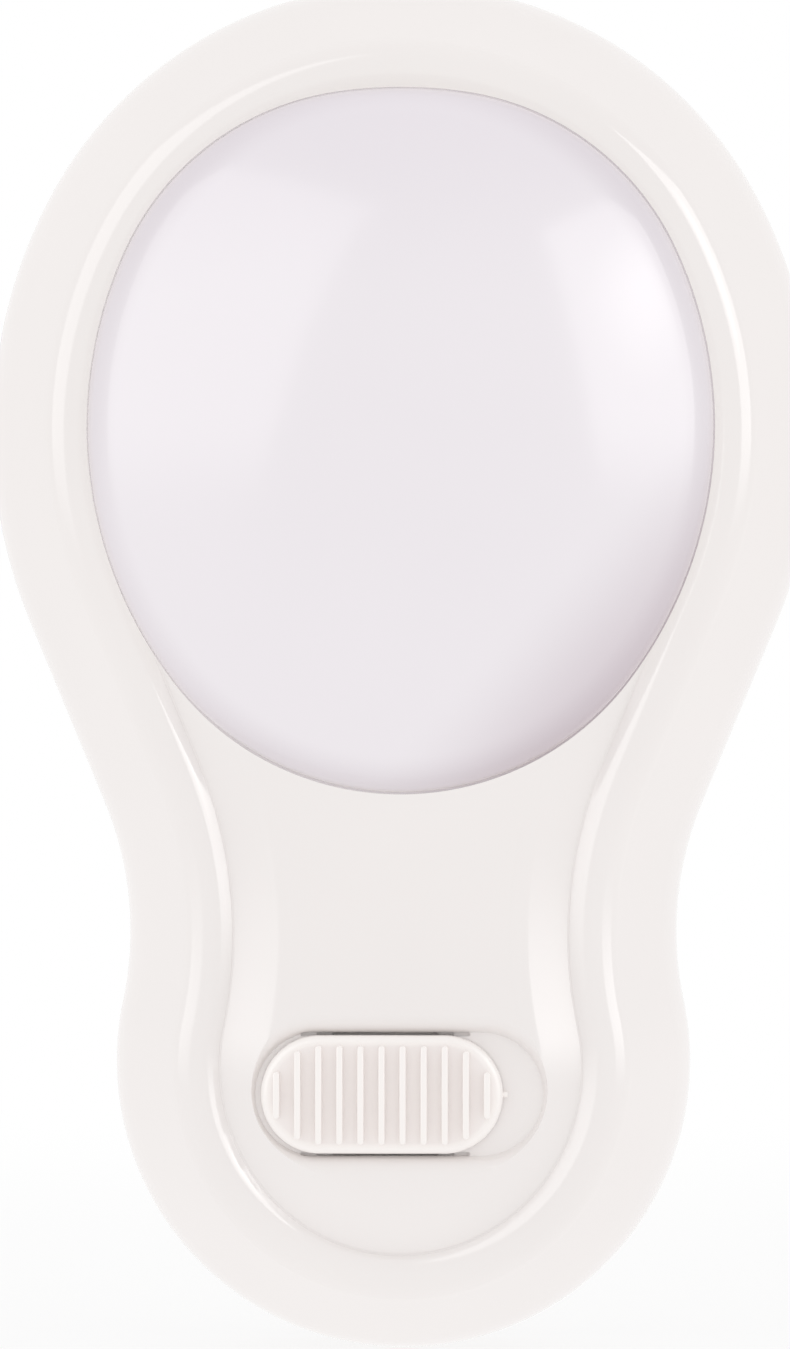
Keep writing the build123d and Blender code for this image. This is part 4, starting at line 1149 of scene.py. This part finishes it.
class NIGHTLIGHT_OT_inner_finishes(bpy.types.Operator):
    """Gives the nodes inside the casing, and the screws, their finishes."""

    bl_idname = "nightlight.inner_finishes"
    bl_label = "Inner finishes"

    def execute(self, context):
        tinned = plated("tinned_wire", (0.56, 0.56, 0.54), 0.3, (1, 1, 1))
        zinc = plated("screw_zinc", (0.45, 0.46, 0.47), 0.32, (1, 0.2, 1))
        brass = plated("contact_brass", (0.60, 0.36, 0.08), 0.28, (0.1, 1, 1))
        finishes = {
            "reflector": moulded("reflector_white", (0.87, 0.87, 0.86), 0.5, 0.1),
            "circuit_board": self.laminate("board_green", (0.012, 0.11, 0.03), 2200),
            "leds": moulded("lamp_epoxy", (0.84, 0.78, 0.48), 0.1, 0.03),
            "led_leads": tinned,
            "dropper_capacitor": moulded("film_dip", (0.40, 0.05, 0.02), 0.25, 0.25, 0.9),
            "dropper_leads": tinned,
            "smoothing_capacitor": moulded("can_sleeve", (0.008, 0.01, 0.025), 0.2, 0.05, 0.8),
            "smoothing_leads": tinned,
            "rectifier_diodes": moulded("diode_black", (0.012, 0.012, 0.012), 0.45, 0.2, 0.8),
            "diode_leads": tinned,
            "resistors": moulded("resistor_tan", (0.55, 0.38, 0.19), 0.4, 0.2, 0.9),
            "resistor_leads": tinned,
            "pin_retainer": moulded("retainer_natural", (0.72, 0.70, 0.64), 0.4, 0.1),
            "retainer_screw": zinc,
            "live_wire": moulded("wire_brown", (0.09, 0.03, 0.01), 0.4, 0.1, 0.9),
            "neutral_wire": moulded("wire_blue", (0.01, 0.05, 0.28), 0.4, 0.1, 0.9),
            "switch_can": plated("cover_tin", (0.52, 0.52, 0.50), 0.3, (0.1, 1, 1)),
            "switch_base": self.laminate("base_brown", (0.15, 0.06, 0.02), 1500),
            "switch_terminals": brass,
            "switch_lever": moulded("slide_black", (0.013, 0.013, 0.013), 0.4, 0.15, 0.8),
            "moving_contact": brass,
            "case_screws": zinc,
            "board_screws": zinc,
        }
        for node, material in finishes.items():
            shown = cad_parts[node]
            shown.data.materials.clear()
            shown.data.materials.append(material)
        return {"FINISHED"}

    def laminate(self, name, base, scale):
        """Laminated sheet with a fine crossed weave under its lacquer."""
        material, tree, shader = new_material(name)
        dark = (*shade(base, 0.82), 1)
        inputs = {"Vector": spot(tree), "Scale": scale, "Color1": (*base, 1), "Color2": dark}
        weave = add(tree, "TexChecker", inputs)
        feed(tree, shader, {"Base Color": weave.outputs["Color"]})
        vary(tree, shader.inputs["Roughness"], grain(tree, 700, 3), 0.3, 0.45)
        relief(tree, shader, weave.outputs["Fac"], 0.05, 0.02 * MM)
        return material


class NIGHTLIGHT_OT_stage(bpy.types.Operator):
    """Sets up the floor, the even light, the lamps and the camera."""

    bl_idname = "nightlight.stage"
    bl_label = "Stage"

    def execute(self, context):
        settings = context.scene.stage_settings
        context.scene.view_settings.view_transform = "Standard"
        self.floor()
        self.even_light(context, settings.fill, settings.front_share)
        left = [(-36, -18), (-75, -18), (-75, 42), (-40, 44), (-5, 41)]
        right = [(80, -18), (45, -18), (30, 34), (50, 37), (80, 36)]
        self.card("left_softbox", left, settings.left_lamp)
        self.card("right_softbox", right, settings.right_lamp)
        for size, share in ((0.06, 0.4), (0.11, 0.3), (0.16, 0.2), (0.21, 0.1)):
            self.lamp(f"core_{share}", size, settings.core_lamp * share)
        self.camera(context, settings)
        return {"FINISHED"}

    def floor(self):
        """Pale floor that shows as near white and keeps the object's shadow."""
        clear_selection()
        bpy.ops.mesh.primitive_plane_add(size=3.0, location=(0, 0, cad_low.z))
        floor = bpy.context.object
        floor.name = "floor"
        floor.visible_diffuse = False
        floor.visible_glossy = False
        floor.visible_shadow = False
        material, tree, shader = new_material("floor_white")
        tint(tree, shader, grain(tree, 3, 2), (0.9, 0.9, 0.9), (0.92, 0.92, 0.92))
        shader.inputs["Roughness"].default_value = 0.8
        glow = add(tree, "Emission", {"Strength": 1.0})
        away = distance(tree, spot(tree))
        inputs = {"Value": away, "From Min": 0.06, "From Max": 0.3, "To Min": 0.7, "To Max": 1.0}
        fade = add(tree, "MapRange", inputs, interpolation_type="SMOOTHSTEP").outputs["Result"]
        mix = add(tree, "MixShader", {"Fac": fade, 1: shader.outputs["BSDF"], 2: glow.outputs["Emission"]})
        feed(tree, tree.nodes["Material Output"], {"Surface": mix.outputs["Shader"]})
        floor.data.materials.append(material)

    def seen(self, tree):
        """1 for rays from the camera, off gloss or through glass."""
        path = add(tree, "LightPath", {}).outputs
        shown = path["Is Camera Ray"]
        for kind in ("Is Glossy Ray", "Is Transmission Ray"):
            shown = add(tree, "Math", {0: shown, 1: path[kind]}, operation="MAXIMUM").outputs["Value"]
        return shown

    def even_light(self, context, fill, front_share):
        """World that lights evenly, a little less from front and back, and shows as white."""
        world = bpy.data.worlds.new("studio")
        context.scene.world = world
        world.use_nodes = True
        tree = world.node_tree
        split = add(tree, "SeparateXYZ", {"Vector": add(tree, "TexCoord", {}).outputs["Generated"]})
        depth = add(tree, "Math", {0: split.outputs["Y"]}, operation="ABSOLUTE").outputs["Value"]
        dim = add(tree, "MapRange", {"Value": depth, "To Min": fill, "To Max": fill * front_share})
        light = tree.nodes["Background"]
        feed(tree, light, {"Color": WHITE, "Strength": dim.outputs["Result"]})
        white = add(tree, "Background", {"Color": WHITE, "Strength": 1.0})
        inputs = {"Fac": self.seen(tree), 1: light.outputs["Background"], 2: white.outputs["Background"]}
        mix = add(tree, "MixShader", inputs)
        feed(tree, tree.nodes["World Output"], {"Surface": mix.outputs["Shader"]})

    def toward(self, side, rise):
        """Direction at an angle to the right of the front and an angle above it."""
        return Vector((sin(side) * cos(rise), -cos(side) * cos(rise), sin(rise)))

    def face(self, thing, aim, side, rise, distance):
        """Puts a lamp or camera at a distance from a point, facing it."""
        out = self.toward(side, rise)
        thing.location = aim + out * distance
        thing.rotation_mode = "QUATERNION"
        thing.rotation_quaternion = out.to_track_quat("Z", "Y")

    def card(self, name, corners, brightness):
        """Bright card that shows only in the gloss and fades at its foot.

        It is given by its corners' directions in degrees.
        """
        clear_selection()
        bpy.ops.mesh.primitive_circle_add(vertices=len(corners), radius=0.1, fill_type="NGON")
        card = bpy.context.object
        card.name = name
        for vertex, (side, rise) in zip(card.data.vertices, corners):
            vertex.co = LIGHT_AIM + self.toward(radians(side), radians(rise)) * CARD_DISTANCE
        card.visible_camera = False
        card.visible_diffuse = False
        card.visible_shadow = False
        material, tree, shader = new_material(name)
        feed(tree, shader, {"Base Color": BLACK, "Specular IOR Level": 0, "Emission Color": WHITE})
        height = add(tree, "SeparateXYZ", {"Vector": spot(tree)}).outputs["Z"]
        vary(tree, shader.inputs["Emission Strength"], ease(tree, height, *CARD_FADE), 1.0, brightness)
        card.data.materials.append(material)

    def lamp(self, name, size, brightness):
        """Round lamp in the right card's middle, given by its brightness."""
        data = bpy.data.lights.new(name, "AREA")
        data.shape = "ELLIPSE"
        data.size = data.size_y = size
        data.energy = brightness * pi * size**2
        lamp = bpy.data.objects.new(name, data)
        lamp.visible_diffuse = False
        bpy.context.scene.collection.objects.link(lamp)
        self.face(lamp, LIGHT_AIM, CORE_SIDE, CORE_RISE, CORE_DISTANCE)

    def camera(self, context, settings):
        """Camera in front of the casing, a little to the right, framed as the photograph."""
        data = bpy.data.cameras.new("camera")
        camera = bpy.data.objects.new("camera", data)
        context.scene.collection.objects.link(camera)
        self.face(camera, CAMERA_AIM, settings.camera_side, settings.camera_rise, settings.camera_distance)
        data.sensor_width = SENSOR_WIDTH
        data.lens = SENSOR_WIDTH * settings.camera_distance / VIEW_WIDTH
        data.clip_start = 0.01
        context.scene.camera = camera


class NIGHTLIGHT_PT_pieces(bpy.types.Panel):
    """Lists the sizes, colours and pieces of the night light."""

    bl_idname = "NIGHTLIGHT_PT_pieces"
    bl_label = "Night light"
    bl_space_type = "VIEW_3D"
    bl_region_type = "UI"
    bl_category = "Night light"

    def draw(self, context):
        for group in property_groups:
            settings = getattr(context.scene, group)
            box = self.layout.box()
            box.label(text=group.replace("_", " ").capitalize())
            for key in settings.bl_rna.properties.keys():
                if key not in ("rna_type", "name"):
                    box.prop(settings, key)
        for maker in makers:
            self.layout.operator(maker.bl_idname)


property_groups = {
    "casing_sizes": CasingSizes,
    "lens_sizes": LensSizes,
    "knob_sizes": KnobSizes,
    "plug_sizes": PlugSizes,
    "finish_colours": FinishColours,
    "stage_settings": StageSettings,
}
makers = (
    NIGHTLIGHT_OT_front_shell,
    NIGHTLIGHT_OT_rear_shell,
    NIGHTLIGHT_OT_lens,
    NIGHTLIGHT_OT_knob,
    NIGHTLIGHT_OT_pins,
    NIGHTLIGHT_OT_inner_finishes,
    NIGHTLIGHT_OT_stage,
)


def register():
    """Registers the properties, operators and panel."""
    for name, group in property_groups.items():
        bpy.utils.register_class(group)
        setattr(bpy.types.Scene, name, PointerProperty(type=group))
    for maker in makers:
        bpy.utils.register_class(maker)
    bpy.utils.register_class(NIGHTLIGHT_PT_pieces)


def unregister():
    """Removes what register added."""
    bpy.utils.unregister_class(NIGHTLIGHT_PT_pieces)
    for maker in reversed(makers):
        bpy.utils.unregister_class(maker)
    for name, group in property_groups.items():
        delattr(bpy.types.Scene, name)
        bpy.utils.unregister_class(group)


def main():
    """Makes every piece and the stage."""
    register()
    bpy.ops.nightlight.front_shell()
    bpy.ops.nightlight.rear_shell()
    bpy.ops.nightlight.lens()
    bpy.ops.nightlight.knob()
    bpy.ops.nightlight.pins()
    bpy.ops.nightlight.inner_finishes()
    bpy.ops.nightlight.stage()
    clear_selection()


if __name__ == "__main__":
    main()
